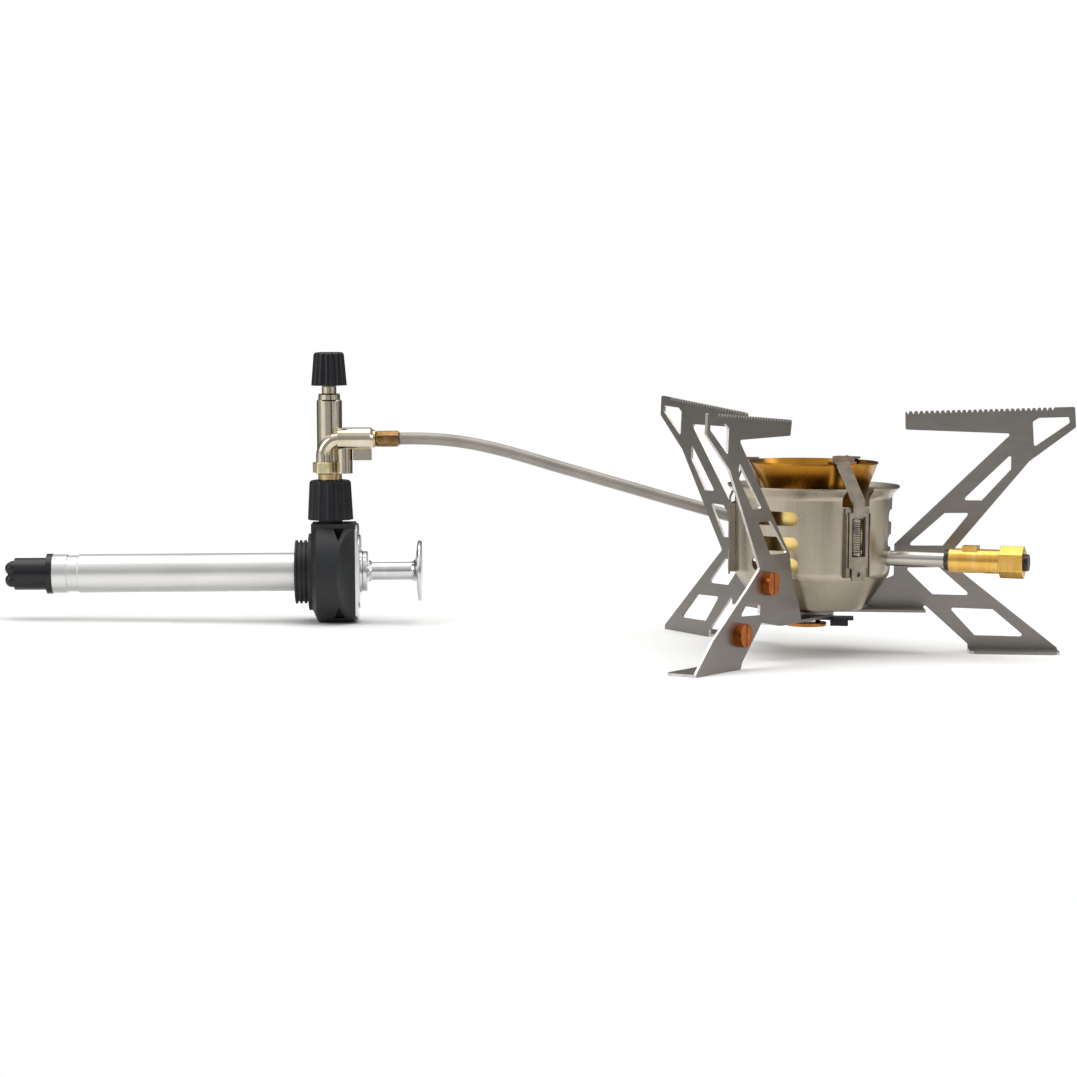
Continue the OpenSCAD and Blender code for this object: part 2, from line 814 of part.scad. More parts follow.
// The front leg is solid below its knee and carries two spare jets
module leg_front() {
    outline = concat(
        arm_outline(arm_tip),
        [for (s = front_shin_shares) at_leg(s)],
        [[front_foot_shares[1] * leg_reach, 0], [front_foot_shares[0] * leg_reach, 0]],
        [for (s = front_calf_shares) at_leg(s)],
        [[front_tongue_share * leg_reach, front_z], [front_low_share * leg_reach, front_z]],
        [for (s = front_edge_shares) at_leg(s)],
        inner_arm(arm_inner_shares));
    color("#8b8782") rotate([0, 0, front_az])
        difference() {
            union() {
                leg_blank(outline, concat(arm_window_shares, front_window_shares), arm_tip);
                leg_foot(front_foot_shares[0], front_foot_shares[1]);
                leg_tongue(front_z, front_tongue_share);
            }
            for (s = spare_jet_shares) on_front_leg(s, -over) cylinder(
                r = spare_jet_stud_r + run_gap, h = leg_t + 2 * over);
        }
}

// Children drawn along Z stand on the front leg's inner face, in the leg's own frame
module on_front_leg(share, up) {
    p = at_leg(share);
    translate([p[0], leg_offset - leg_t / 2 + up, p[1]]) rotate([-90, 0, 0]) children();
}

module spare_jet(share) {
    color("#c4691a") rotate([0, 0, front_az]) on_front_leg(share, leg_t) {
        difference() {
            cylinder(r = spare_jet_r, h = spare_jet_h);
            translate([-spare_jet_slot_w / 2, -spare_jet_r - over, spare_jet_h - spare_jet_slot_d])
                cube([spare_jet_slot_w, 2 * (spare_jet_r + over), spare_jet_slot_d + over]);
        }
        translate([0, 0, -leg_t - spare_jet_stud_l])
            cylinder(r = spare_jet_stud_r, h = leg_t + spare_jet_stud_l);
    }
}

module spare_jet_upper() {
    spare_jet(spare_jet_shares[0]);
}

module spare_jet_lower() {
    spare_jet(spare_jet_shares[1]);
}

module air_slot(az, up) {
    rotate([0, 0, az]) translate([cup_base_r, 0, cup_z + up]) rotate([0, 90, 0])
        linear_extrude(cup_rim_r)
            union() {
                square([slot_h, slot_l - slot_h], center = true);
                for (side = [-1, 1]) translate([0, side * (slot_l - slot_h) / 2]) circle(d = slot_h);
            }
}

module burner_cup() {
    wall = [
        [pivot_hole_r, cup_z], [cup_base_r, cup_z], [cup_r, cup_cone_z],
        [cup_top_r, cup_top_z - rim_fall], [cup_rim_r, cup_top_z - cup_t], [cup_rim_r, cup_top_z],
        [cup_top_r - cup_t / 2, cup_top_z - rim_fall + cup_t * 2],
        [cup_r - cup_t, cup_cone_z], [cup_base_r - cup_t, cup_floor_z], [pivot_hole_r, cup_floor_z]
    ];
    soft = concat(
        [wall[0]], corner(wall[0], wall[1], wall[2], cup_round, 4),
        corner(wall[1], wall[2], wall[3], cup_round * 2, 4),
        corner(wall[2], wall[3], wall[4], cup_round, 3), [wall[4], wall[5]],
        corner(wall[5], wall[6], wall[7], cup_round, 3),
        corner(wall[6], wall[7], wall[8], cup_round * 2 - cup_t, 4),
        corner(wall[7], wall[8], wall[9], cup_round - cup_t, 4), [wall[9]]);
    color("#b0a597")
        difference() {
            rotate_extrude() polygon(soft);
            for (i = [0:len(slot_azs) - 1])
                for (k = [(i == 1 ? 1 : 0):len(slot_ups) - 1]) air_slot(slot_azs[i], slot_ups[k]);
            for (az = clip_azs) rotate([0, 0, az]) {
                translate([cup_base_r, -notch_w / 2, notch_z]) cube([cup_rim_r, notch_w, cup_h]);
                translate([cup_base_r, -spring_window_w / 2 - clip_t / 2, spring_low_z - window_over])
                    cube([cup_rim_r, spring_window_w + clip_t, spring_len + 2 * window_over]);
            }
            on_mix(cup_base_r) cylinder(r = mix_r + hole_gap, h = cup_rim_r);
            on_mix(cup_base_r) translate([0, pipe_side, 0]) cylinder(r = pipe_hole_r, h = cup_rim_r);
            on_hose_entry(cup_base_r) cylinder(r = fitting_stem_r + run_gap, h = cup_rim_r);
        }
}

module burner_bell() {
    wall = [
        [bell_foot_r, cup_floor_z], [bell_foot_r, cup_floor_z + bell_foot_h / 2],
        [bell_r, cup_floor_z + bell_foot_h], [bell_r, bell_flare_z],
        [bell_rim_r - bell_bead, bell_top_z - 2 * bell_bead],
        [bell_rim_r, bell_top_z - 2 * bell_bead], [bell_rim_r, bell_top_z],
        [bell_rim_r - bell_t, bell_top_z], [bell_r - bell_t, bell_flare_z],
        [bell_r - bell_t, cup_floor_z + bell_foot_h], [bell_foot_r - bell_t, cup_floor_z + bell_foot_h / 2],
        [bell_foot_r - bell_t, cup_floor_z]
    ];
    soft = concat(
        [wall[0], wall[1], wall[2]], corner(wall[2], wall[3], wall[4], bell_round, 4),
        [wall[4], wall[5], wall[6], wall[7]], corner(wall[7], wall[8], wall[9], bell_round, 4),
        [wall[9], wall[10], wall[11]]);
    color("#b98a2c")
        difference() {
            rotate_extrude() polygon(soft);
            on_mix(head_r) cylinder(r = mix_r + hole_gap, h = bell_rim_r);
            on_mix(head_r) translate([0, pipe_side, 0]) cylinder(r = pipe_hole_r, h = bell_rim_r);
            on_hose_entry(head_r) cylinder(r = pipe_hole_r, h = bell_rim_r);
        }
}

module burner_head() {
    inside = head_r - head_t;
    color("#b08a4a")
        difference() {
            rotate_extrude() polygon([
                [0, head_low_z], [head_foot_r, head_low_z], [head_foot_r, head_z - head_t],
                [head_r, head_z + head_t], [head_r, head_top_z], [inside, head_top_z],
                [inside, head_z + 2 * head_t], [0, head_z + 2 * head_t]
            ]);
            on_mix(0) cylinder(r = mix_r, h = head_r + over);
        }
}

module flame_spreader() {
    post_ring_r = head_r - head_t / 2;
    hole_ring_r = (head_r - head_t + screw_r) / 2;
    color("#6f675d")
        difference() {
            union() {
                translate([0, 0, head_top_z]) cylinder(r = head_r, h = spreader_t);
                for (k = [0:post_n - 1]) rotate([0, 0, 360 * k / post_n])
                    translate([post_ring_r, 0, head_top_z + spreader_t / 2])
                        cylinder(r = post_r, h = post_h + spreader_t, $fn = 24);
                translate([0, 0, spreader_z]) cylinder(r = spreader_r, h = spreader_t);
            }
            translate([0, 0, head_top_z - over])
                cylinder(r = screw_r, h = spreader_z + spreader_t - head_top_z + 2 * over);
            for (k = [0:gas_hole_n - 1]) rotate([0, 0, 360 * (k + 0.5) / gas_hole_n])
                translate([hole_ring_r, 0, head_top_z - over])
                    cylinder(r = gas_hole_r, h = spreader_t + 2 * over, $fn = 24);
            for (k = [0:spreader_notch_n - 1]) rotate([0, 0, 360 * k / spreader_notch_n])
                translate([spreader_r, 0, spreader_z - over])
                    cylinder(r = spreader_notch_r, h = spreader_t + 2 * over, $fn = 24);
        }
}

module spreader_screw() {
    top_z = spreader_z + spreader_t;
    color("#9a948a") {
        translate([0, 0, top_z]) difference() {
            cylinder(r = screw_head_r, h = screw_head_h);
            translate([-screw_head_r, -screw_r / 4, screw_head_h / 2])
                cube([2 * screw_head_r, screw_r / 2, screw_head_h]);
        }
        translate([0, 0, head_top_z]) cylinder(r = screw_r, h = top_z - head_top_z);
    }
}

module priming_pad() {
    color("#e6dfce") translate([0, 0, cup_floor_z])
        ring(pad_outer_r, pad_inner_r, pad_h);
}

// Pipe that takes fuel round the flame and back out to the jet
module vaporiser_pipe() {
    fall = [for (p = [
        [sqrt(pow(loop_r, 2) - pow(pipe_side, 2)), pipe_side, mix_z + loop_bend],
        [loop_r - pipe_r / 3, pipe_side, mix_z + pipe_r],
        [loop_r + pipe_r, pipe_side, mix_z + pipe_r / 3],
        [loop_r + loop_bend, pipe_side, mix_z],
        [block_x + boss_in, pipe_side, mix_z]
    ]) turned(p, mix_az)];
    rise_r = loop_r + pipe_r / 3;
    rise = [
        polar(fitting_x - fitting_stem_l, hose_az, hose_in_z),
        polar(loop_r + loop_bend, hose_az, hose_in_z),
        polar(loop_r + pipe_r, hose_az, hose_in_z + pipe_r / 2),
        polar(rise_r, hose_az, hose_in_z + loop_bend * 0.7),
        polar(loop_r, hose_az, hose_in_z + loop_bend * 1.3),
        polar(loop_r, hose_az, loop_z - loop_bend),
        polar(loop_r, hose_az + 2, loop_z - pipe_r),
        polar(loop_r, hose_az + loop_step / 2, loop_z - pipe_r / 6)
    ];
    loop = [for (az = [hose_az + loop_step:loop_step:loop_end_az - loop_step]) polar(loop_r, az, loop_z)];
    turn = [
        polar(loop_r, loop_end_az - loop_step / 2, loop_z - pipe_r / 6),
        polar(loop_r, loop_end_az - 2, loop_z - pipe_r),
        polar(loop_r, loop_end_az, loop_z - loop_bend)
    ];
    color("#8c8478") swept_tube(concat(rise, loop, turn, fall), pipe_r, sweep_sides, [0, 0, 1]);
}

module mixing_tube() {
    color("#a59a90") on_mix(head_r - head_t) ring(mix_r, mix_r - mix_t, block_x - head_r + head_t);
}

module tube_collar() {
    color("#4a3f38") on_mix(block_x - collar_l) ring(collar_r, mix_r, collar_l);
}

module jet_block() {
    color("#e0a93c") rotate([0, 0, mix_az]) translate([block_x, 0, mix_z]) difference() {
        union() {
            rotate([0, 90, 0]) cylinder(r = block_r, h = block_l);
            translate([boss_in, pipe_side, 0]) rotate([0, 90, 0]) cylinder(r = boss_r, h = boss_l);
            translate([air_top_in, -block_bore_r, 0]) cube([air_l, 2 * block_bore_r, block_r + air_rise]);
        }
        rotate([0, 90, 0]) translate([0, 0, -over]) cylinder(r = block_bore_r, h = block_l - jet_l + over);
        rotate([0, 90, 0]) cylinder(r = jet_r, h = block_l + over);
        translate([air_top_in + air_l / 4, -block_bore_r / 2, 0])
            cube([air_l / 2, block_bore_r, block_r + air_rise + over]);
        translate([air_low_in + air_l / 4, -block_bore_r / 2, -block_r - over])
            cube([air_l / 2, block_bore_r, block_r + over]);
    }
}

module main_jet() {
    color("#c98f3a") on_mix(block_end_x - jet_l) ring(jet_r, jet_hole_r, jet_l);
}

module jet_block_nut() {
    color("#d99b38") on_mix(block_end_x) difference() {
        hex(block_nut_af, block_nut_l);
        translate([0, 0, -over]) cylinder(r = nut_bore_r, h = block_nut_l + 2 * over);
    }
}

module inlet_stub() {
    color("#3c3530") on_mix(block_end_x) cylinder(r = stub_r, h = stub_l);
}

// The space inside the upper wall of the cup, which parts fixed on the wall are cut to
module cup_inside() {
    translate([0, 0, cup_cone_z])
        cylinder(r1 = cup_r, r2 = cup_top_r, h = cup_top_z - rim_fall - cup_cone_z, $fn = 128);
}

// Guide on the cup wall that a strap slides in
module clip_guide(az) {
    window = spring_window_w / 2;
    color("#a89d90") {
        difference() {
            rotate([0, 0, az]) translate([cup_r - guide_lip, -guide_w / 2, guide_low_z])
                cube([guide_x + clip_t + guide_lip - cup_r, guide_w, guide_top_z - guide_low_z]);
            cup_inside();
            rotate([0, 0, az]) translate([cup_r - guide_lip - over, -window, spring_low_z - window_over])
                cube([2 * cup_rim_r, 2 * window, spring_len + window_over]);
        }
        rotate([0, 0, az]) {
            for (side = [-1, 1])
                translate([guide_x, side * (guide_w - guide_lip_t) / 2 - guide_lip_t / 2, guide_low_z])
                    cube([clip_t + guide_lip, guide_lip_t, guide_top_z - guide_low_z - lip_short]);
            translate([spring_x - spring_mean_r, -tab_w / 2, spring_top_z])
                cube([guide_x + clip_t - spring_x + spring_mean_r, tab_w, clip_t]);
        }
    }
}

module clip_guide_1() {
    clip_guide(clip_azs[0]);
}

module clip_guide_2() {
    clip_guide(clip_azs[1]);
}

module clip_guide_3() {
    clip_guide(clip_azs[2]);
}

// Strap with the hook that holds the bell's rim down
module clip_strap(az) {
    window = spring_window_w / 2;
    color("#a59c92") rotate([0, 0, az]) {
        difference() {
            union() {
                translate([strap_x, -strap_w / 2, strap_low_z])
                    cube([clip_t, strap_w, strap_top_z - strap_neck_h - strap_low_z]);
                translate([strap_x, -strap_neck_w / 2, strap_low_z])
                    cube([clip_t, strap_neck_w, strap_top_z - strap_low_z]);
                translate([strap_x, -hook_tab_w / 2, strap_low_z - hook_tab_h])
                    cube([clip_t, hook_tab_w, hook_tab_h]);
            }
            translate([strap_x - over, -window, spring_low_z])
                cube([clip_t + 2 * over, 2 * window, spring_len + clip_t]);
            translate([strap_x - over, 0, strap_low_z - hook_tab_h / 2]) rotate([0, 90, 0])
                cylinder(r = hook_hole_r, h = clip_t + 2 * over, $fn = 24);
        }
        translate([spring_x - spring_mean_r, -tab_w / 2, spring_low_z - clip_t])
            cube([strap_x + clip_t - spring_x + spring_mean_r, tab_w, clip_t]);
        translate([strap_x + clip_t / 2, 0, arm_low_z])
            rotate([arm_tilt_side, 0, 0]) rotate([0, -arm_tilt_in, 0])
                translate([-clip_t / 2, -arm_w / 2, 0]) cube([clip_t, arm_w, arm_len]);
        translate([hook_in_x, -hook_side - hook_w / 2, hook_z])
            cube([hook_out_x - hook_in_x, hook_w, hook_t]);
        translate([hook_in_x, -hook_side - hook_w / 2, hook_z - hook_lip])
            cube([hook_t, hook_w, hook_lip + hook_t]);
    }
}

module clip_strap_1() {
    clip_strap(clip_azs[0]);
}

module clip_strap_2() {
    clip_strap(clip_azs[1]);
}

module clip_strap_3() {
    clip_strap(clip_azs[2]);
}

module clip_spring(az) {
    color("#9c948a") rotate([0, 0, az]) translate([spring_x, 0, spring_low_z + spring_wire / 2])
        swept_tube(spring_path, spring_wire / 2, spring_ring_sides, [0, 0, 1]);
}

module clip_spring_1() {
    clip_spring(clip_azs[0]);
}

module clip_spring_2() {
    clip_spring(clip_azs[1]);
}

module clip_spring_3() {
    clip_spring(clip_azs[2]);
}

module pivot_bolt() {
    color("#8f8a84") {
        translate([0, 0, cup_floor_z]) cylinder(r = bolt_head_r, h = bolt_head_h);
        translate([0, 0, base_disc_z - bolt_tail])
            cylinder(r = pivot_r, h = cup_floor_z - base_disc_z + bolt_tail);
    }
}

module pivot_nut() {
    color("#8c9088") translate([0, 0, pivot_nut_z]) difference() {
        cylinder(r = pivot_nut_r, h = pivot_nut_h, $fn = 6);
        translate([0, 0, -over]) cylinder(r = pivot_r, h = pivot_nut_h + 2 * over);
    }
}

// Thumb lever under the legs, with a ribbed pad
module base_lever() {
    color("#2c262c") difference() {
        union() {
            translate([0, 0, lever_z]) cylinder(r = lever_eye_r, h = lever_t);
            translate([0, -lever_w / 2, lever_z]) cube([lever_l, lever_w, lever_t]);
            translate([pad_in, -lever_w / 2, lever_z - pad_drop]) cube([pad_l, lever_w, pad_drop]);
            for (k = [0:pad_rib_n - 1])
                translate([pad_in + pad_l * (k + 0.5) / pad_rib_n - pad_rib / 2, -lever_w / 2 - pad_rib / 2,
                    lever_z - pad_drop])
                    cube([pad_rib, lever_w + pad_rib, pad_drop]);
        }
        translate([0, 0, lever_z - over]) cylinder(r = pivot_hole_r, h = lever_t + 2 * over);
    }
}

module base_disc() {
    color("#c9912f") translate([0, 0, base_disc_z]) difference() {
        translate([-base_disc_shift, 0, 0]) cylinder(r = base_disc_r, h = base_disc_h);
        translate([0, 0, -over]) cylinder(r = pivot_r, h = base_disc_h + 2 * over);
    }
}

module burner_fitting() {
    color("#c79a4a") {
        difference() {
            on_hose_entry(fitting_x - fitting_back) hex(fitting_af, fitting_l + fitting_back);
            cup_inside();
        }
        on_hose_entry(fitting_x - fitting_stem_l) cylinder(r = fitting_stem_r, h = fitting_stem_l);
    }
}

module burner_ferrule() {
    color("#a87b3c") on_hose_entry(burner_ferrule_x) cylinder(r = burner_ferrule_r, h = burner_ferrule_l);
}

module fuel_hose() {
    color("#a9a69b") swept_tube(hose_route, hose_d / 2, hose_sides, [0, 0, 1]);
}

module valve_ferrule() {
    color("#a87b3c") translate([hose_start[0] - ferrule_l, outlet_y, outlet_z]) rotate([0, 90, 0])
        cylinder(d = ferrule_d, h = ferrule_l);
}

module valve_body() {
    arm_x = side_nut_x + arm_bend;
    arm_z = outlet_z - arm_bend;
    nut_top_z = valve_z + side_nut_up + side_nut_h;
    ferrule_x = hose_start[0] - ferrule_l;
    outlet_l = outlet_x - outlet_in_x - outlet_edge;
    color("#cfc6b8") difference() {
        union() {
            on_valve(valve_z) cylinder(r = valve_r, h = valve_h - body_edge);
            on_valve(valve_top_z - body_edge)
                cylinder(r1 = valve_r, r2 = valve_r - body_edge, h = body_edge);
            on_valve(valve_top_z) cylinder(r = crown_r, h = crown_h - crown_edge);
            on_valve(valve_end_z - crown_edge)
                cylinder(r1 = crown_r, r2 = crown_r - crown_edge, h = crown_edge);
            translate([outlet_in_x, outlet_y, outlet_z]) rotate([0, 90, 0]) {
                cylinder(r = outlet_r, h = outlet_l);
                translate([0, 0, outlet_l])
                    cylinder(r1 = outlet_r, r2 = outlet_r - outlet_edge, h = outlet_edge);
            }
            translate([arm_x, outlet_y, outlet_z]) rotate([0, 90, 0])
                cylinder(r = arm_r, h = outlet_x - arm_x - over);
            translate([arm_x, outlet_y, arm_z]) rotate([90, 0, 0]) rotate([0, 0, 90])
                rotate_extrude(angle = 90) translate([arm_bend, 0]) circle(r = arm_r);
            translate([side_nut_x, outlet_y, nut_top_z]) cylinder(r = arm_r, h = arm_z - nut_top_z);
            translate([pillar_x, pillar_y, valve_z + pillar_up])
                cylinder(r = pillar_r, h = outlet_z - valve_z - pillar_up);
            translate([lug_x, outlet_y - lug_w / 2, outlet_z - outlet_r - lug_h + over])
                cube([lug_l, lug_w, lug_h]);
            translate([ferrule_x - over, outlet_y, outlet_z]) rotate([0, 90, 0])
                cylinder(r = outlet_ring_r, h = over);
        }
        translate([side_nut_x, outlet_y, valve_z - over])
            hex(side_nut_af, side_nut_up + side_nut_h + over + stack_gap);
        on_valve(valve_end_z - seal_h) cylinder(r = seal_r, h = seal_h + over);
        on_valve(spindle_low_z - stack_gap) cylinder(r = spindle_hole_r, h = valve_h);
    }
}

module side_nut() {
    color("#dcb24e") translate([side_nut_x, outlet_y, valve_z + side_nut_up])
        hex(side_nut_af, side_nut_h);
}

module gland_nut() {
    color("#b9b0a0") on_valve(valve_end_z) ring(gland_r, spindle_hole_r, gland_h);
}

module spindle_seal() {
    color("#222222") on_valve(valve_end_z - seal_h) ring(seal_r, spindle_hole_r, seal_h);
}

module valve_spindle() {
    color("#9d978c") on_valve(spindle_low_z) {
        translate([0, 0, spindle_tip])
            cylinder(r = spindle_r, h = knob_z + knob_seat_h - spindle_low_z - spindle_tip);
        cylinder(r1 = spindle_r / 3, r2 = spindle_r, h = spindle_tip);
    }
}

// Black knob with convex lobes, narrowing upwards to a rounded shoulder
module lobed_knob(foot_d, top_d, h, bore_r, bore_h) {
    foot_r = foot_d / 2;
    top_r = top_d / 2;
    lean = atan((foot_r - top_r) / h);
    difference() {
        intersection() {
            union() {
                cylinder(r1 = foot_r - lobe_depth, r2 = top_r - lobe_depth, h = h);
                for (k = [0:lobe_n - 1]) rotate([0, 0, 360 * k / lobe_n])
                    translate([foot_r - lobe_r, 0, 0]) rotate([0, -lean, 0])
                        translate([0, 0, -over]) cylinder(r = lobe_r, h = h + 2 * over);
            }
            rotate_extrude() polygon(concat(
                [[0, 0], [foot_r, 0]],
                corner([foot_r, 0], [top_r, h], [0, h], knob_round, 4), [[0, h]]));
        }
        translate([0, 0, -over]) cylinder(r = bore_r, h = bore_h + over);
    }
}

module valve_knob() {
    color("#2b2b2d") on_valve(knob_z)
        lobed_knob(knob_d, knob_d - knob_taper, knob_h, spindle_r, knob_seat_h);
}

module coupling_stem() {
    color("#b98a3c") on_valve(stem_low_z) {
        cylinder(r = stem_r, h = stem_top_z - stem_low_z);
        translate([0, 0, stem_top_z - stem_low_z]) cylinder(r = stem_flange_r, h = stem_flange_h);
    }
}

module stem_seal() {
    color("#1d1d1f") on_valve(stem_low_z + stem_seal_h) ring(stem_seal_r, stem_r, stem_seal_h);
}

module coupling_knob() {
    color("#2b2b2d") on_valve(coupler_z)
        lobed_knob(coupler_d, coupler_d - coupler_taper, coupler_h, coupler_bore_r, coupler_h + over);
}

// Hollow facet that thins the grip towards its right end, on the back or the front
module grip_facet(side) {
    out = [(grip_r - facet_in) / facet_chord, facet_l / facet_chord] * facet_out;
    translate([
        grip_right - facet_l / 2 + out[0],
        pump_y + side * ((grip_r + facet_in) / 2 + out[1]),
        -over
    ]) cylinder(r = facet_r, h = grip_d + 2 * over, $fn = 128);
}

module pump_body() {
    color("#333437") difference() {
        union() {
            intersection() {
                union() {
                    on_pump(grip_left) {
                        cylinder(r1 = grip_r - grip_bevel_r, r2 = grip_r, h = grip_bevel_l);
                        translate([0, 0, grip_bevel_l])
                            cylinder(r = grip_r, h = grip_l - grip_bevel_l - grip_edge);
                        translate([0, 0, grip_l - grip_edge])
                            cylinder(r1 = grip_r, r2 = grip_r - grip_edge, h = grip_edge);
                    }
                    translate([grip_left, pump_y - land_w / 2, pump_z + land_low])
                        cube([grip_l, land_w, grip_r - land_low]);
                }
                translate([grip_left, pump_y - grip_r, 0]) cube([grip_l, grip_d, grip_d - land_down]);
            }
            on_pump(grip_left - collar_w) cylinder(d = collar_d, h = collar_w + over);
            on_pump(thread_x) cylinder(r = thread_d / 2 - thread_depth, h = thread_l + over);
            for (k = [0:thread_n - 1]) on_pump(thread_x + k * thread_pitch)
                cylinder(d = thread_d, h = thread_crest);
            on_valve(neck_low_z - over) cylinder(r = neck_r, h = neck_h + over);
        }
        on_pump(thread_x - over) cylinder(r = tube_r, h = thread_l + collar_w + grip_l / 2 + over);
        on_pump(thread_x) cylinder(r = tube_in_r, h = thread_l + collar_w + grip_l + 2 * over);
        for (side = [-1, 1]) grip_facet(side);
        on_pump(grip_left - collar_w - over) ring(gasket_r, thread_d / 2, gasket_t + over);
        on_pump(grip_left - collar_w) ring(gasket_r, thread_d / 2 - thread_depth, gasket_t);
        on_pump(grip_right - cap_nut_in) cylinder(d = cap_nut_d, h = cap_nut_in + over);
        for (end = [-1, 1]) for (side = [-1, 1])
            translate([vee_in - valve_x, pump_y + side * (vee_back + grip_r / 2), pump_z + end * vee_up])
                rotate([90, 0, 0]) translate([0, 0, -grip_r / 2]) linear_extrude(grip_r)
                    polygon([[-vee_w / 2, 0], [vee_w / 2, 0], [0, -end * vee_h]]);
        on_valve(stem_low_z) cylinder(r = stem_r + run_gap, h = grip_r);
        on_valve(stem_low_z + stem_seal_h) cylinder(r = stem_seal_r, h = stem_seal_h);
    }
}

module bottle_gasket() {
    color("#1b1b1c") on_pump(grip_left - collar_w)
        ring(gasket_r, thread_d / 2 - thread_depth, gasket_t);
}

module pump_tube() {
    tube_full = grip_left + grip_l / 2 - tube_x;
    color("#dcdcd8") on_pump(tube_x) difference() {
        cylinder(r = tube_r, h = tube_full);
        translate([0, 0, -over]) cylinder(r = tube_in_r, h = tube_full + 2 * over);
        translate([0, 0, groove_in]) ring(tube_r + over, tube_r - groove_d, groove_l);
    }
}

module end_cap() {
    color("#29292b") difference() {
        union() {
            on_pump(tube_x - cap_flange_l) cylinder(d = cap_flange_d, h = cap_flange_l);
            on_pump(tube_x) cylinder(r = tube_in_r, h = cap_plug_l);
            on_pump(cap_end_x + cap_lobe_l) cylinder(d = cap_d, h = cap_l - cap_lobe_l);
            for (k = [0:cap_lobe_n - 1]) on_pump(cap_end_x) rotate([0, 0, 360 * (k + 0.5) / cap_lobe_n])
                translate([cap_d / 2 - cap_lobe_r - cap_lobe_in, 0, cap_lobe_r]) {
                    sphere(r = cap_lobe_r);
                    cylinder(r = cap_lobe_r, h = cap_lobe_l - cap_lobe_r + over);
                }
            on_pump(cap_end_x + cap_tip_in) cylinder(r = cap_core_r, h = cap_lobe_l);
        }
        on_pump(cap_end_x - over) cylinder(r = filter_r, h = filter_in + filter_l + over);
        on_pump(check_seat_x - cap_l) cylinder(r = seat_r, h = 2 * cap_l);
        on_pump(check_seat_x) cylinder(r = check_bore_r, h = check_bore_l);
    }
}

module check_ball() {
    color("#c9c9c9") on_pump(check_ball_x) sphere(r = check_ball_r);
}

module check_spring() {
    color("#9c948a") on_pump(check_spring_x + check_wire_r)
        swept_tube(check_path, check_wire_r, spring_ring_sides, [0, 0, 1]);
}

module fuel_filter() {
    color("#b8b2a4") on_pump(cap_end_x + filter_in) cylinder(r = filter_r, h = filter_l);
}

module grip_flange() {
    color("#8e9094") intersection() {
        on_pump(grip_right) {
            ring(flange_d / 2, cap_nut_d / 2, flange_t);
            ring(hub_d / 2, cap_nut_d / 2, hub_t);
        }
        translate([grip_right, pump_y - flange_half, 0]) cube([hub_t, 2 * flange_half, grip_d]);
    }
}

module pump_cap() {
    color("#d8d6d0") on_pump(cap_nut_x - cap_nut_in) ring(cap_nut_d / 2, rod_hole_r, cap_nut_l + cap_nut_in);
}

module cap_ring() {
    color("#b8b6b0") on_pump(cap_ring_x) ring(cap_ring_d / 2, rod_hole_r, cap_ring_l);
}

module plunger_rod() {
    color("#c9c8c4") on_pump(rod_low_x) cylinder(r = rod_r, h = plunger_x + knob_reach / 2 - rod_low_x);
}

module plunger_knob() {
    knob_neck_r = knob_neck_d / 2;
    flare_x = knob_reach - 3 * disc_edge - flare_l;
    rim_c = [disc_d / 2 - disc_edge, knob_reach - disc_edge];
    color("#d5d2cb") on_pump(plunger_x) rotate_extrude() polygon(concat(
        [[rod_r, 0], [knob_foot_d / 2, 0], [knob_neck_r, knob_foot_l]],
        [for (a = [0:15:90])
            [knob_neck_r + (flare_r - knob_neck_r) * (1 - cos(a)), flare_x + flare_l * sin(a)]],
        [for (a = [-90:30:90]) rim_c + disc_edge * [cos(a), sin(a)]],
        [[0, knob_reach], [0, knob_reach / 2], [rod_r, knob_reach / 2]]
    ));
}

module piston() {
    color("#2d2d30") on_pump(piston_x) ring(tube_in_r - piston_gap, rod_r, piston_l);
}

module piston_cup() {
    color("#7a5a3a") on_pump(piston_x + piston_l) difference() {
        cylinder(r = tube_in_r - piston_gap, h = piston_cup_l);
        translate([0, 0, piston_cup_t]) cylinder(r = tube_in_r - piston_gap - piston_cup_t, h = piston_cup_l);
        translate([0, 0, -over]) cylinder(r = rod_r, h = piston_cup_l + 2 * over);
    }
}

burner_cup();
burner_bell();
burner_head();
flame_spreader();
spreader_screw();
priming_pad();
vaporiser_pipe();
mixing_tube();
tube_collar();
jet_block();
main_jet();
jet_block_nut();
inlet_stub();
clip_guide_1();
clip_guide_2();
clip_guide_3();
clip_strap_1();
clip_strap_2();
clip_strap_3();
clip_spring_1();
clip_spring_2();
clip_spring_3();
pivot_bolt();
pivot_nut();
base_lever();
base_disc();
leg_right();
leg_rear();
leg_front();
spare_jet_upper();
spare_jet_lower();
burner_fitting();
burner_ferrule();
fuel_hose();
leaning() valve_ferrule();
leaning() valve_body();
leaning() side_nut();
leaning() gland_nut();
leaning() spindle_seal();
leaning() valve_spindle();
leaning() valve_knob();
leaning() coupling_stem();
leaning() stem_seal();
leaning() coupling_knob();
leaning() pump_body();
leaning() bottle_gasket();
leaning() pump_tube();
leaning() end_cap();
leaning() check_ball();
leaning() check_spring();
leaning() fuel_filter();
leaning() grip_flange();
leaning() pump_cap();
leaning() cap_ring();
leaning() plunger_rod();
leaning() plunger_knob();
leaning() piston();
leaning() piston_cup();
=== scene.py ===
# Multi-fuel camping stove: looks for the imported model
import json
import math

import bmesh
import bpy
from mathutils import Matrix, Vector, noise


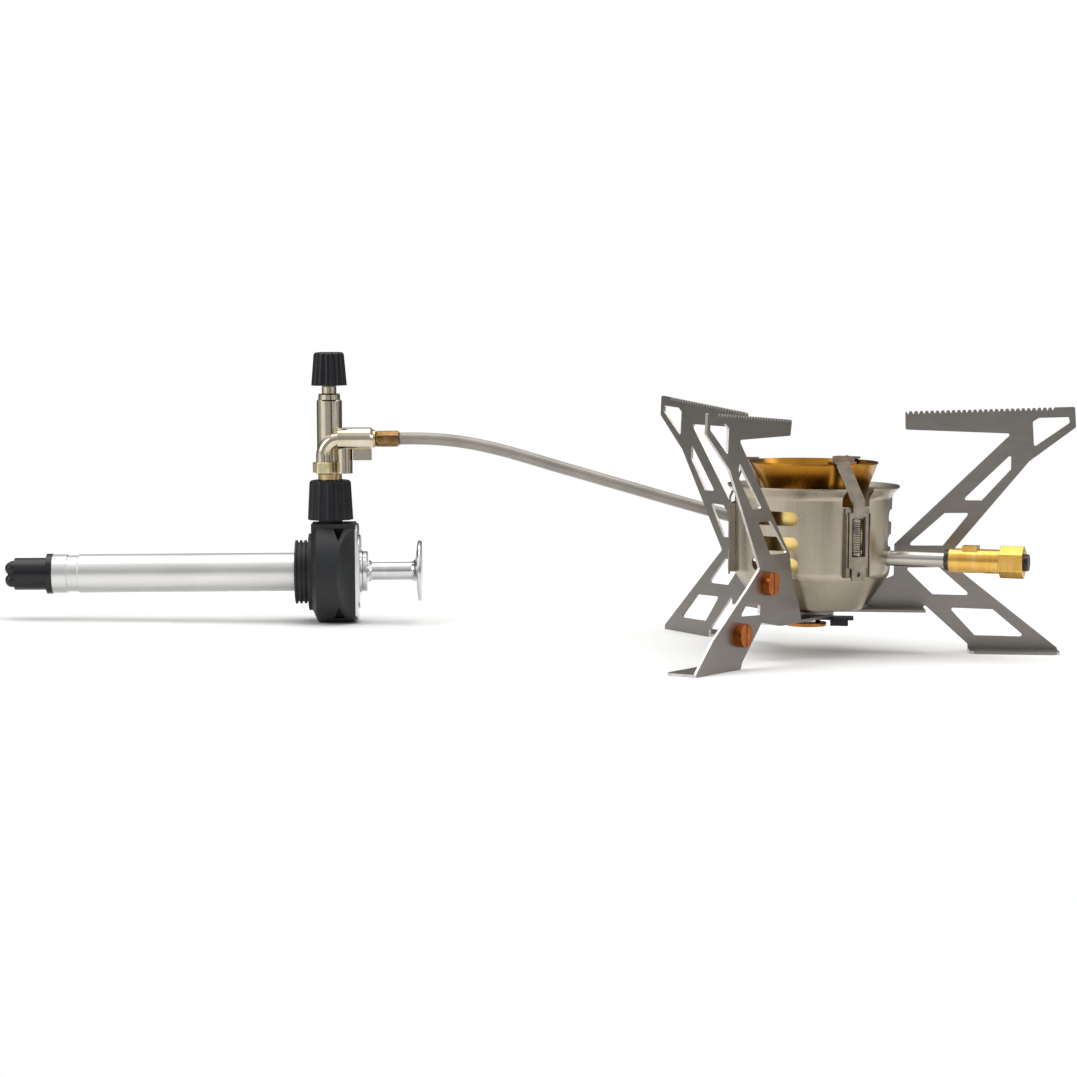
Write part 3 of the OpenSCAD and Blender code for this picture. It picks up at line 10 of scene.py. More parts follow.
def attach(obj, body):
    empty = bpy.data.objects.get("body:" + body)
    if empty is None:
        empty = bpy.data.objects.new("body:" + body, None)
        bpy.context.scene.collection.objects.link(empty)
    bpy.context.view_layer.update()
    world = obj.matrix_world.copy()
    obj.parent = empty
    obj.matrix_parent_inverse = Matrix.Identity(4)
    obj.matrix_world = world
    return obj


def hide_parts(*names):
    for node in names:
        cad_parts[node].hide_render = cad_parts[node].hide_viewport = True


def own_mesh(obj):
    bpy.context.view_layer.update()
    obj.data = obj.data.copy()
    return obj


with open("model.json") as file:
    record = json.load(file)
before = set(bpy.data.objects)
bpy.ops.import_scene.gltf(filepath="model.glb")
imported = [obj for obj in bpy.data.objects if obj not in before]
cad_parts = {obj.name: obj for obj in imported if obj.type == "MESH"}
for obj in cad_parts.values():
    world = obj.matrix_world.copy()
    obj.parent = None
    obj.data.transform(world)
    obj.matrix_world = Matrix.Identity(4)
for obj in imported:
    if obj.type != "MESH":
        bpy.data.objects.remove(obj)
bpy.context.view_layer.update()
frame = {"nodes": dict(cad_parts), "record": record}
print("Loaded the packed model")

record = frame["record"]
nodeBody = {n: b for b, names in record["behaviour"]["bodies"].items() for n in names}
nodeSlot = {s["node"]: s["material_slot"] for s in record["subparts"]}
mm = 0.001

# Camera fitted to the photograph, in metres and degrees
view = {
    "place": (0.00746, -1.49092, 0.15811),
    "yaw": -4.68909,
    "pitch": 4.30886,
    "roll": 0.58,
    "focalPixels": 3565.17,
    "imagePixels": 1077,
    "filmWidth": 36,  # millimetres
    "nearest": 0.01,
    "farthest": 50,
}


def makeCamera():
    yaw, pitch, roll = (math.radians(view[k]) for k in ("yaw", "pitch", "roll"))
    ahead = math.cos(pitch)
    forward = Vector((math.sin(yaw) * ahead, math.cos(yaw) * ahead, -math.sin(pitch)))
    level = forward.cross(Vector((0, 0, 1))).normalized()
    upright = level.cross(forward)
    right = level * math.cos(roll) + upright * math.sin(roll)
    up = -level * math.sin(roll) + upright * math.cos(roll)
    lens = bpy.data.cameras.new("photoCamera")
    lens.sensor_width = view["filmWidth"]
    lens.lens = view["focalPixels"] / view["imagePixels"] * view["filmWidth"]
    lens.clip_start = view["nearest"]
    lens.clip_end = view["farthest"]
    camera = bpy.data.objects.new("photoCamera", lens)
    turn = Matrix((right, up, -forward)).transposed().to_4x4()
    camera.matrix_world = Matrix.Translation(Vector(view["place"])) @ turn
    bpy.context.scene.collection.objects.link(camera)
    bpy.context.scene.camera = camera
    bpy.context.scene.view_settings.view_transform = "Standard"  # plain colours, as a catalogue picture has


makeCamera()
print("Made the camera")


# Small helpers
def fromHex(text):
    # From an sRGB hex value to linear light
    channels = [int(text[i : i + 2], 16) / 255 for i in (1, 3, 5)]
    linear = [c / 12.92 if c <= 0.04045 else ((c + 0.055) / 1.055) ** 2.4 for c in channels]
    return (*linear, 1.0)


def addNode(tree, kind, inputs=None, stops=None, **settings):
    # inputs take a plain value or another node's output, stops fill a colour ramp
    node = tree.nodes.new(kind)
    for name, value in settings.items():
        setattr(node, name, value)
    for name, value in (inputs or {}).items():
        if isinstance(value, bpy.types.NodeSocket):
            tree.links.new(value, node.inputs[name])
        else:
            node.inputs[name].default_value = value
    if stops:
        bar = node.color_ramp.elements
        while len(bar) < len(stops):
            bar.new(0.5)
        for mark, (position, colour) in zip(bar, stops):
            mark.position = position
            mark.color = fromHex(colour) if isinstance(colour, str) else colour
    return node


def keepMesh(name, bm, smoothAngle=35):
    # Smooth shading with the edges sharper than the angle left crisp
    for face in bm.faces:
        face.smooth = True
    limit = math.radians(smoothAngle)
    for edge in bm.edges:
        edge.smooth = len(edge.link_faces) == 2 and edge.calc_face_angle(0) < limit
    mesh = bpy.data.meshes.new(name)
    bm.to_mesh(mesh)
    bm.free()
    piece = bpy.data.objects.new(name, mesh)
    bpy.context.scene.collection.objects.link(piece)
    return piece


def place(piece, node, material, hides=True):
    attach(piece, nodeBody[node])
    if hides:
        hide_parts(node)
    piece.data.materials.clear()
    piece.data.materials.append(material)
    return piece


def moved(piece, matrix):
    piece.data.transform(matrix)
    return piece


def joinRings(bm, pairs):
    # Four-sided faces between neighbouring rings of points
    for low, high in pairs:
        for k in range(len(low)):
            after = (k + 1) % len(low)
            bm.faces.new((low[k], low[after], high[after], high[k]))


def tubeMesh(name, path, radius, sides):
    # A round tube along a smooth path, with rings that don't twist and closed ends
    bm = bmesh.new()
    points = [Vector(p) for p in path]
    headings = []
    for i in range(len(points)):
        before = points[max(i - 1, 0)]
        after = points[min(i + 1, len(points) - 1)]
        headings.append((after - before).normalized())
    turns = [2 * math.pi * k / sides for k in range(sides)]
    across = headings[0].orthogonal().normalized()
    rings = []
    for p, heading in zip(points, headings):
        across = (across - heading * across.dot(heading)).normalized()
        other = heading.cross(across)
        spokes = [across * math.cos(t) + other * math.sin(t) for t in turns]
        rings.append([bm.verts.new(p + spoke * radius) for spoke in spokes])
    joinRings(bm, zip(rings, rings[1:]))
    bm.faces.new(rings[0][::-1])
    bm.faces.new(rings[-1])
    return keepMesh(name, bm)


# Fuel hose: the route of the solid, in metres, on one smooth curve
hose = {
    "radius": 2.7 * mm,
    "sides": 32,
    "steps": 4,  # points of the smooth curve from one point of the route to the next
    "route": [
        (-0.184226, 0.082617, 0.082677), (-0.177288, 0.083224, 0.082798), (-0.168296, 0.083776, 0.0826),
        (-0.158194, 0.083781, 0.081775), (-0.147992, 0.083149, 0.080213), (-0.137769, 0.082055, 0.07806),
        (-0.126589, 0.080742, 0.075163), (-0.115524, 0.080007, 0.0721), (-0.104584, 0.08, 0.0691),
        (-0.093629, 0.08, 0.066099), (-0.082691, 0.08, 0.063101), (-0.071735, 0.08, 0.060099),
        (-0.060797, 0.08, 0.057101), (-0.049841, 0.08, 0.0542), (-0.038903, 0.08, 0.051398),
        (-0.028945, 0.08, 0.049301), (-0.01969, 0.08, 0.048), (-0.012717, 0.07902, 0.047667),
        (-0.006283, 0.076156, 0.047544), (-0.000889, 0.071629, 0.047508), (0.003049, 0.065791, 0.047501),
        (0.005225, 0.059093, 0.0475), (0.005471, 0.052055, 0.0475), (0.004913, 0.046742, 0.0475),
    ],
}


def smoothRoute(points, steps):
    # Catmull-Rom points between the given ones
    route = [Vector(p) for p in points]
    smooth = []
    for i in range(len(route) - 1):
        a, b = route[max(i - 1, 0)], route[i]
        c, d = route[i + 1], route[min(i + 2, len(route) - 1)]
        for k in range(steps):
            t = k / steps
            curve = 2 * b + (c - a) * t + (2 * a - 5 * b + 4 * c - d) * t * t
            smooth.append(0.5 * (curve + (3 * b - a - 3 * c + d) * t ** 3))
    smooth.append(route[-1])
    return smooth


def unwrapHose(piece, path, sides):
    # The piece's own map: u once round the hose, v in hose circumferences along it
    along = [0.0]
    for a, b in zip(path, path[1:]):
        along.append(along[-1] + (b - a).length)
    piece.data.uv_layers.new(name="alongHose")
    layer = piece.data.uv_layers["alongHose"].data
    girth = 2 * math.pi * hose["radius"]
    for face in piece.data.polygons:
        numbers = [piece.data.loops[i].vertex_index for i in face.loop_indices]
        turns = [v % sides for v in numbers]
        wraps = max(turns) - min(turns) > sides / 2
        for i, v, k in zip(face.loop_indices, numbers, turns):
            turn = sides if wraps and k == 0 else k
            layer[i].uv = (turn / sides, along[v // sides] / girth)


hosePath = smoothRoute(hose["route"], hose["steps"])
hosePiece = tubeMesh("fuelHoseSleeve", hosePath, hose["radius"], hose["sides"])
unwrapHose(hosePiece, hosePath, hose["sides"])

# Materials, each named for what the real piece is made of
reliefDepth = {"toolMarks": 0.05 * mm, "mouldGrain": 0.04 * mm}


def sized(millimetres):
    # Texture scale for a feature of that size, because Object coordinates are in metres
    return 1000 / millimetres


def emptyMaterial(name):
    material = bpy.data.materials.new(name)
    material.use_nodes = True
    material.node_tree.nodes.clear()
    return material, material.node_tree


def metal(name, look):
    # Base colour drifts in patches, and fine lines from the tool change gloss and catch light.
    # lines and patch are sizes in millimetres, lines along each axis.
    material, tree = emptyMaterial(name)
    spot = addNode(tree, "ShaderNodeTexCoord").outputs["Object"]
    lineScale = tuple(sized(s) for s in look["lines"])
    stretch = addNode(tree, "ShaderNodeMapping", {"Vector": spot, "Scale": lineScale})
    lines = addNode(tree, "ShaderNodeTexNoise", {
        "Vector": stretch.outputs["Vector"], "Scale": 1.0, "Detail": 3.0, "Roughness": 0.6,
    }).outputs["Fac"]
    patches = addNode(tree, "ShaderNodeTexNoise", {
        "Vector": spot, "Scale": sized(look["patch"]), "Detail": 4.0, "Roughness": 0.55,
    }).outputs["Fac"]
    both = addNode(tree, "ShaderNodeMath", {0: lines, 1: patches}, operation="MULTIPLY").outputs["Value"]
    tint = addNode(tree, "ShaderNodeValToRGB", {"Fac": both},
                   stops=[(0.12, look["dark"]), (0.26, look["main"]), (0.42, look["light"])])
    gloss = addNode(tree, "ShaderNodeMapRange", {
        "Value": both, "From Min": 0.1, "From Max": 0.42,
        "To Min": look["rough"][0], "To Max": look["rough"][1],
    })
    relief = addNode(tree, "ShaderNodeBump", {
        "Height": lines, "Strength": look["bump"], "Distance": reliefDepth["toolMarks"],
    })
    shader = addNode(tree, "ShaderNodeBsdfPrincipled", {
        "Base Color": tint.outputs["Color"],
        "Roughness": gloss.outputs["Result"],
        "Normal": relief.outputs["Normal"],
        "Metallic": 1.0,
    })
    addNode(tree, "ShaderNodeOutputMaterial", {"Surface": shader.outputs["BSDF"]})
    return material


def moulded(name, look):
    # Spark-eroded mould grain, drawn at about twice its real 0.3 mm so that it shows.
    # grain and patch are sizes in millimetres.
    material, tree = emptyMaterial(name)
    spot = addNode(tree, "ShaderNodeTexCoord").outputs["Object"]
    grain = addNode(tree, "ShaderNodeTexNoise", {
        "Vector": spot, "Scale": sized(look["grain"]), "Detail": 2.0, "Roughness": 0.5,
    }).outputs["Fac"]
    flow = addNode(tree, "ShaderNodeTexNoise", {
        "Vector": spot, "Scale": sized(look["patch"]), "Detail": 5.0, "Roughness": 0.6,
    }).outputs["Fac"]
    tint = addNode(tree, "ShaderNodeValToRGB", {"Fac": flow},
                   stops=[(0.3, look["dark"]), (0.72, look["light"])])
    gloss = addNode(tree, "ShaderNodeMapRange", {
        "Value": flow, "From Min": 0.3, "From Max": 0.7,
        "To Min": look["rough"][0], "To Max": look["rough"][1],
    })
    relief = addNode(tree, "ShaderNodeBump", {
        "Height": grain, "Strength": look["bump"], "Distance": reliefDepth["mouldGrain"],
    })
    shader = addNode(tree, "ShaderNodeBsdfPrincipled", {
        "Base Color": tint.outputs["Color"],
        "Roughness": gloss.outputs["Result"],
        "Normal": relief.outputs["Normal"],
        "IOR": 1.5,
        "Specular IOR Level": 0.4,
    })
    addNode(tree, "ShaderNodeOutputMaterial", {"Surface": shader.outputs["BSDF"]})
    return material


# Cold-rolled stainless sheet, laser cut and tumbled: even grey with a faint rolling direction
legSteel = metal("rolledStainlessSheet", {
    "dark": "#8b8681", "main": "#908b86", "light": "#95908b",
    "rough": (0.37, 0.42), "lines": (12, 12, 1.4), "patch": 34, "bump": 0.008,
})
# The cut faces of that sheet: striped across the thickness, with a brighter colour that is a painted
# highlight on the edges
cutEdge = metal("cutSheetEdge", {
    "dark": "#b2afa9", "main": "#c6c2bb", "light": "#d8d5cf",
    "rough": (0.22, 0.36), "lines": (0.7, 0.7, 0.7), "patch": 5, "bump": 0.12,
})
# Deep-drawn stainless: smooth satin, slightly warm, with faint vertical draw marks
cupSteel = metal("drawnStainlessSatin", {
    "dark": "#aba08f", "main": "#b1a796", "light": "#b8af9f",
    "rough": (0.27, 0.29), "lines": (5, 5, 50), "patch": 50, "bump": 0.002,
})
# Stamped clip steel, a shade darker and duller than the cup
clipSteel = metal("stampedClipSteel", {
    "dark": "#857c70", "main": "#958b7e", "light": "#a49a8d",
    "rough": (0.3, 0.4), "lines": (4, 4, 4), "patch": 9, "bump": 0.02,
})
# Hard-drawn spring wire: bright, with a dark lacquer in the hollows
springSteel = metal("drawnSpringWire", {
    "dark": "#7d7972", "main": "#a5a098", "light": "#c2beb6",
    "rough": (0.3, 0.4), "lines": (0.8, 0.8, 0.8), "patch": 4, "bump": 0.04,
})
# Turned free-cutting brass: bright yellow with fine rings from the lathe
yellowBrass = metal("turnedBrass", {
    "dark": "#dca94b", "main": "#e4b45b", "light": "#ecc173",
    "rough": (0.24, 0.3), "lines": (2, 12, 12), "patch": 12, "bump": 0.02,
})
# Brass of the lever's disc, browned by handling and heat
agedBrass = metal("agedBrass", {
    "dark": "#a06a34", "main": "#bd8446", "light": "#d29d5c",
    "rough": (0.3, 0.4), "lines": (6, 6, 6), "patch": 9, "bump": 0.02,
})
# Brass washed with tin: the pale stem and outlet ring of the valve
paleBrass = metal("tinnedBrass", {
    "dark": "#b8a06c", "main": "#c5af7e", "light": "#d2bf94",
    "rough": (0.2, 0.26), "lines": (3, 3, 3), "patch": 8, "bump": 0.02,
})
# The same tinned brass in a lighter copy on the side nut, a painted highlight
brightNutBrass = metal("brightTinnedBrass", {
    "dark": "#e0cfa0", "main": "#ebddb4", "light": "#f4eac8",
    "rough": (0.2, 0.28), "lines": (3, 3, 3), "patch": 8, "bump": 0.01,
})
# Crimped bronze sleeve: amber, darker where it was heated
bronzeSleeve = metal("crimpedBronze", {
    "dark": "#6b5030", "main": "#8b6a42", "light": "#a4825a",
    "rough": (0.22, 0.34), "lines": (5, 1, 1), "patch": 5, "bump": 0.06,
})
# Copper-rich brass of the spare jets: orange, with the tool's rings on the face
copperBrass = metal("copperRichBrass", {
    "dark": "#9c5220", "main": "#b5652a", "light": "#cb7d3e",
    "rough": (0.26, 0.36), "lines": (0.9, 0.9, 0.9), "patch": 4, "bump": 0.07,
})
# Steel blued by heat: near black-brown with a little sheen
darkSteel = metal("heatBluedSteel", {
    "dark": "#2c2a2b", "main": "#454244", "light": "#66605c",
    "rough": (0.3, 0.46), "lines": (1, 4, 1), "patch": 5, "bump": 0.08,
})
# Seamless tube, pickled after bending: soft grey with lengthwise lines
tubeSteel = metal("pickledTube", {
    "dark": "#b8b3ab", "main": "#c0bbb3", "light": "#c8c3bb",
    "rough": (0.2, 0.24), "lines": (30, 8, 8), "patch": 24, "bump": 0.002,
})
# Nickel-plated casting: warm, almost a mirror, with a faint orange-peel
nickel = metal("warmNickelPlate", {
    "dark": "#c8bda9", "main": "#d0c6b3", "light": "#d9d0c0",
    "rough": (0.1, 0.13), "lines": (6, 6, 6), "patch": 14, "bump": 0.004,
})
# Chromed and buffed steel: a cool mirror
polishedSteel = metal("buffedChrome", {
    "dark": "#cccdcf", "main": "#d4d5d6", "light": "#dcdddd",
    "rough": (0.15, 0.18), "lines": (6, 9, 9), "patch": 20, "bump": 0.001,
})
# Drawn aluminium tube, bead blasted and clear anodised: silvery white satin
pumpAluminium = metal("clearAnodisedAluminium", {
    "dark": "#d4d3d0", "main": "#dad9d7", "light": "#e0dfdd",
    "rough": (0.36, 0.4), "lines": (40, 8, 8), "patch": 30, "bump": 0.002,
})
# Glass-filled nylon: charcoal with a fine moulded grain
gripNylon = moulded("glassFilledNylon", {
    "dark": "#17181a", "light": "#222427", "rough": (0.44, 0.56), "grain": 0.6, "patch": 11, "bump": 0.3,
})
# Acetal of the knobs, lever and end cap: a shade darker and smoother
knobAcetal = moulded("blackAcetal", {
    "dark": "#0e0f13", "light": "#15151b", "rough": (0.24, 0.32), "grain": 0.7, "patch": 7, "bump": 0.08,
})
# Nitrile rubber: matt, nearly black
sealRubber = moulded("nitrileRubber", {
    "dark": "#101010", "light": "#1c1c1c", "rough": (0.6, 0.75), "grain": 0.8, "patch": 5, "bump": 0.3,
})
# Ceramic fibre felt: off-white, matt and hairy, scorched in patches
padFibre = moulded("ceramicFibreFelt", {
    "dark": "#8b8377", "light": "#d8d1c4", "rough": (0.85, 0.95), "grain": 0.5, "patch": 4, "bump": 1.0,
})
# Oiled leather of the pump cup: mid brown with a soft sheen
cupLeather = moulded("oiledLeather", {
    "dark": "#4d2f1c", "light": "#7a4e2f", "rough": (0.5, 0.65), "grain": 0.7, "patch": 3, "bump": 0.7,
})


def heatedBrass():
    # Spun brass: pale gold low down, browner towards the rim, with soft clouds of oxide
    look = {
        "base": "#f8dc90", "middle": "#ae7b2a", "rim": "#b4802f", "cloud": "#8a5d33",
        "foot": 19, "top": 80,  # heights between which the colour changes, in millimetres
        "cloudSize": 9, "rough": (0.22, 0.28), "lines": (12, 12, 0.6), "bump": 0.015,
    }
    material, tree = emptyMaterial("heatTintedBrass")
    spot = addNode(tree, "ShaderNodeTexCoord").outputs["Object"]
    height = addNode(tree, "ShaderNodeSeparateXYZ", {"Vector": spot}).outputs["Z"]
    climb = addNode(tree, "ShaderNodeMapRange", {
        "Value": height, "From Min": look["foot"] * mm, "From Max": look["top"] * mm,
    })
    clouds = addNode(tree, "ShaderNodeTexNoise", {
        "Vector": spot, "Scale": sized(look["cloudSize"]), "Detail": 5.0, "Roughness": 0.6,
    }).outputs["Fac"]
    wander = addNode(tree, "ShaderNodeMapRange", {
        "Value": clouds, "From Min": 0.25, "From Max": 0.75, "To Min": -0.07, "To Max": 0.07,
    })
    heat = addNode(tree, "ShaderNodeMath", {0: climb.outputs["Result"], 1: wander.outputs["Result"]},
                   operation="ADD")
    tint = addNode(tree, "ShaderNodeValToRGB", {"Fac": heat.outputs["Value"]},
                   stops=[(0.55, look["base"]), (0.8, look["middle"]), (0.95, look["rim"])])
    stain = addNode(tree, "ShaderNodeMapRange", {
        "Value": clouds, "From Min": 0.55, "From Max": 0.85, "To Min": 0.0, "To Max": 0.35,
    })
    colour = addNode(tree, "ShaderNodeMix", {
        0: stain.outputs["Result"], 6: tint.outputs["Color"], 7: fromHex(look["cloud"]),
    }, data_type="RGBA")
    lineScale = tuple(sized(s) for s in look["lines"])
    stretch = addNode(tree, "ShaderNodeMapping", {"Vector": spot, "Scale": lineScale})
    rings = addNode(tree, "ShaderNodeTexNoise", {"Vector": stretch.outputs["Vector"], "Scale": 1.0})
    gloss = addNode(tree, "ShaderNodeMapRange", {
        "Value": clouds, "From Min": 0.3, "From Max": 0.7,
        "To Min": look["rough"][0], "To Max": look["rough"][1],
    })
    relief = addNode(tree, "ShaderNodeBump", {
        "Height": rings.outputs["Fac"], "Strength": look["bump"], "Distance": reliefDepth["toolMarks"],
    })
    shader = addNode(tree, "ShaderNodeBsdfPrincipled", {
        "Base Color": colour.outputs[2],
        "Roughness": gloss.outputs["Result"],
        "Normal": relief.outputs["Normal"],
        "Metallic": 1.0,
    })
    addNode(tree, "ShaderNodeOutputMaterial", {"Surface": shader.outputs["BSDF"]})
    return material


def hoseSleeve():
    # Clear sleeve over steel braid: warm grey and smooth, the braid only a faint diamond pattern under it
    look = {
        "dark": "#837e76", "light": "#a09a90",
        "strands": 18,  # puts 14 waves of each slant round the hose, 1.2 mm apart
        "smudge": 16, "rough": (0.34, 0.44), "bump": 0.12,
    }
    material, tree = emptyMaterial("sleevedSteelBraid")
    along = addNode(tree, "ShaderNodeUVMap", uv_map="alongHose").outputs["UV"]
    waveScale = look["strands"] * math.sqrt(2) / 2 / 2
    heights = []
    for slant in (45, -45):
        turned = addNode(tree, "ShaderNodeMapping", {
            "Vector": along, "Rotation": (0, 0, math.radians(slant)),
        })
        wave = addNode(tree, "ShaderNodeTexWave", {
            "Vector": turned.outputs["Vector"], "Scale": waveScale, "Distortion": 0.0,
        }, wave_profile="SIN")
        heights.append(wave.outputs["Fac"])
    braid = addNode(tree, "ShaderNodeMath", {0: heights[0], 1: heights[1]},
                    operation="MAXIMUM").outputs["Value"]
    spot = addNode(tree, "ShaderNodeTexCoord").outputs["Object"]
    smudge = addNode(tree, "ShaderNodeTexNoise", {
        "Vector": spot, "Scale": sized(look["smudge"]), "Detail": 4.0,
    }).outputs["Fac"]
    faint = addNode(tree, "ShaderNodeMapRange", {"Value": braid, "To Min": -0.1, "To Max": 0.1})
    shade = addNode(tree, "ShaderNodeMath", {0: smudge, 1: faint.outputs["Result"]}, operation="ADD")
    tint = addNode(tree, "ShaderNodeValToRGB", {"Fac": shade.outputs["Value"]},
                   stops=[(0.3, look["dark"]), (0.72, look["light"])])
    gloss = addNode(tree, "ShaderNodeMapRange", {
        "Value": smudge, "From Min": 0.3, "From Max": 0.7,
        "To Min": look["rough"][0], "To Max": look["rough"][1],
    })
    relief = addNode(tree, "ShaderNodeBump", {
        "Height": braid, "Strength": look["bump"], "Distance": reliefDepth["toolMarks"],
    })
    shader = addNode(tree, "ShaderNodeBsdfPrincipled", {
        "Base Color": tint.outputs["Color"],
        "Roughness": gloss.outputs["Result"],
        "Normal": relief.outputs["Normal"],
        "Metallic": 0.35,
        "Coat Weight": 0.3,
        "Coat Roughness": 0.3,
    })
    addNode(tree, "ShaderNodeOutputMaterial", {"Surface": shader.outputs["BSDF"]})
    return material


bellBrass = heatedBrass()
hoseCover = hoseSleeve()

slotFinish = {
    "leg_steel": legSteel, "cup_steel": cupSteel, "clip_steel": clipSteel, "spring_steel": springSteel,
    "heated_brass": bellBrass, "yellow_brass": yellowBrass, "bronze_sleeve": bronzeSleeve,
    "copper_brass": copperBrass, "dark_steel": darkSteel, "tube_steel": tubeSteel, "nickel": nickel,
    "polished_steel": polishedSteel, "pump_aluminium": pumpAluminium, "black_plastic": gripNylon,
    "seal_rubber": sealRubber, "hose_sleeve": hoseCover, "pad_fibre": padFibre, "cup_leather": cupLeather,
}
for name, cad in frame["nodes"].items():
    for slot in cad.material_slots:
        slot.material = slotFinish[nodeSlot[name]]
print("Made", len(slotFinish), "finishes")

# Solids kept in form, with merged points, rounded edges and smooth faces. Angles in degrees
softening = {"mergeWithin": 0.002 * mm, "flatWithin": 0.5, "sharpAngle": 34, "steps": 2}
# Each solid's piece, with the radius of its rounded edges in millimetres
softEdges = {
    "burner_cup": ("drawnBurnerCup", 0.2), "burner_bell": ("spunFlameBell", 0.25),
    "burner_head": ("burnerHead", 0.2), "flame_spreader": ("flameSpreader", 0.15),
    "spreader_screw": ("spreaderScrew", 0.2), "leg_right": ("rightLegSheet", 0.14),
    "leg_rear": ("rearLegSheet", 0.14), "leg_front": ("frontLegSheet", 0.14),
    "clip_guide_1": ("clipGuideOne", 0.12), "clip_guide_2": ("clipGuideTwo", 0.12),
    "clip_guide_3": ("clipGuideThree", 0.12), "clip_strap_1": ("clipStrapOne", 0.12),
    "clip_strap_2": ("clipStrapTwo", 0.12), "clip_strap_3": ("clipStrapThree", 0.12),
    "spare_jet_upper": ("upperSpareJet", 0.25), "spare_jet_lower": ("lowerSpareJet", 0.25),
    "base_lever": ("thumbLever", 0.3), "base_disc": ("leverDisc", 0.2),
    "pivot_nut": ("pivotNut", 0.2), "pivot_bolt": ("pivotBolt", 0.2),
    "mixing_tube": ("mixingTube", 0.15), "tube_collar": ("tubeCollar", 0.2),
    "jet_block": ("jetBlock", 0.25), "jet_block_nut": ("jetBlockNut", 0.3),
    "inlet_stub": ("inletStub", 0.2), "burner_fitting": ("hoseFitting", 0.3),
    "vaporiser_pipe": ("vaporiserPipe", 0.05), "valve_body": ("valveBlock", 0.3),
    "gland_nut": ("glandNut", 0.25), "side_nut": ("sideNut", 0.35),
    "coupling_stem": ("couplingStem", 0.2), "valve_spindle": ("valveSpindle", 0.15),
    "valve_knob": ("valveKnob", 0.35), "coupling_knob": ("couplingKnob", 0.35),
    "pump_body": ("pumpGrip", 0.45), "pump_tube": ("pumpCylinder", 0.2),
    "end_cap": ("lobedEndCap", 0.4), "grip_flange": ("gripFlange", 0.25),
    "pump_cap": ("pumpCap", 0.4), "cap_ring": ("capRing", 0.5),
    "plunger_knob": ("plungerKnob", 0.2), "plunger_rod": ("plungerRod", 0.3),
    "piston": ("pistonDisc", 0.25), "main_jet": ("mainJet", 0.15), "check_ball": ("checkBall", 0.05),
}
# Solids whose finish differs from the others of their slot
ownFinish = {
    "base_disc": agedBrass, "valve_knob": knobAcetal, "coupling_knob": knobAcetal, "base_lever": knobAcetal,
    "end_cap": knobAcetal, "side_nut": brightNutBrass, "coupling_stem": paleBrass,
}


def settled(piece):
    # The modifiers' result as a plain mesh
    graph = bpy.context.evaluated_depsgraph_get()
    mesh = bpy.data.meshes.new_from_object(piece.evaluated_get(graph))
    piece.modifiers.clear()
    piece.data = mesh
    return piece


def roundedEdges(piece, width, steps, sharpAngle):
    bevel = piece.modifiers.new("roundedEdges", "BEVEL")
    bevel.limit_method = "ANGLE"
    bevel.angle_limit = math.radians(sharpAngle)
    bevel.width = width * mm
    bevel.segments = steps
    bevel.use_clamp_overlap = True
    even = piece.modifiers.new("evenShading", "WEIGHTED_NORMAL")
    even.keep_sharp = True
    return settled(piece)


def softened(node, name, rounding, material):
    bm = bmesh.new()
    bm.from_mesh(frame["nodes"][node].data)
    bmesh.ops.remove_doubles(bm, verts=bm.verts, dist=softening["mergeWithin"])
    flat = math.radians(softening["flatWithin"])
    bmesh.ops.dissolve_limit(bm, angle_limit=flat, verts=bm.verts, edges=bm.edges)
    piece = keepMesh(name, bm, softening["sharpAngle"])
    roundedEdges(piece, rounding, softening["steps"], softening["sharpAngle"])
    return place(piece, node, material)


made = {}
for node, (name, rounding) in softEdges.items():
    made[node] = softened(node, name, rounding, ownFinish.get(node, slotFinish[nodeSlot[node]]))
print("Softened", len(made), "solids")

# The legs' cut faces get a brighter colour, a painted highlight on the sheet's edges
legSheet = {
    "azimuths": {"leg_right": 3.3, "leg_rear": 123.3, "leg_front": 243.3},
    "foot": (0, 1.4),  # heights between which the sheet is bent level, in millimetres
    "tongue": (14.0, 18.4),
    "teethFrom": 93,  # the teeth keep the sheet's finish, but not what looks down under them
    "teethSlope": -0.3,
    "shadedEyeReach": 26,  # the eyes under the cup keep the sheet's finish as far out as this
    "facing": 0.75,  # a face counts as the sheet's own side from this cosine up
}


def brightenCutFaces(node):
    az = math.radians(legSheet["azimuths"][node])
    plate = Vector((-math.sin(az), math.cos(az), 0))
    levels = (legSheet["foot"], legSheet["tongue"])
    facing = legSheet["facing"]
    mesh = made[node].data
    mesh.materials.append(cutEdge)
    for face in mesh.polygons:
        centre, normal = face.center, face.normal
        level = any(low * mm <= centre.z <= high * mm for low, high in levels)
        toothed = centre.z > legSheet["teethFrom"] * mm and normal.z > legSheet["teethSlope"]
        # the eyes under the cup lie in shade, so their cut faces get no painted highlight
        underCup = centre.z < legSheet["tongue"][1] * mm and centre.xy.length < legSheet["shadedEyeReach"] * mm
        side = abs(normal.dot(plate)) > facing or (level and abs(normal.z) > facing)
        face.material_index = 0 if side or toothed or underCup else 1


for node in legSheet["azimuths"]:
    brightenCutFaces(node)

# The pump and valve stand in upright numbers below, then lean and turn as their solids do
pump = {"lean": -1, "turn": 5, "lift": 0.145, "gripX": -214.4, "y": 86, "axisZ": 22.4}
pumpFoot = Vector((pump["gripX"], pump["y"], 0)) * mm
raised = Matrix.Translation(pumpFoot + Vector((0, 0, pump["lift"] * mm)))
turned = Matrix.Rotation(math.radians(pump["turn"]), 4, "Z")
leaned = Matrix.Rotation(math.radians(pump["lean"]), 4, "Y")
leaning = raised @ turned @ leaned @ Matrix.Translation(-pumpFoot)
eastward = (1, 0, 0)
upward = (0, 0, 1)


def onPump(x):
    # A point of the pump's axis
    return (x, pump["y"], pump["axisZ"])


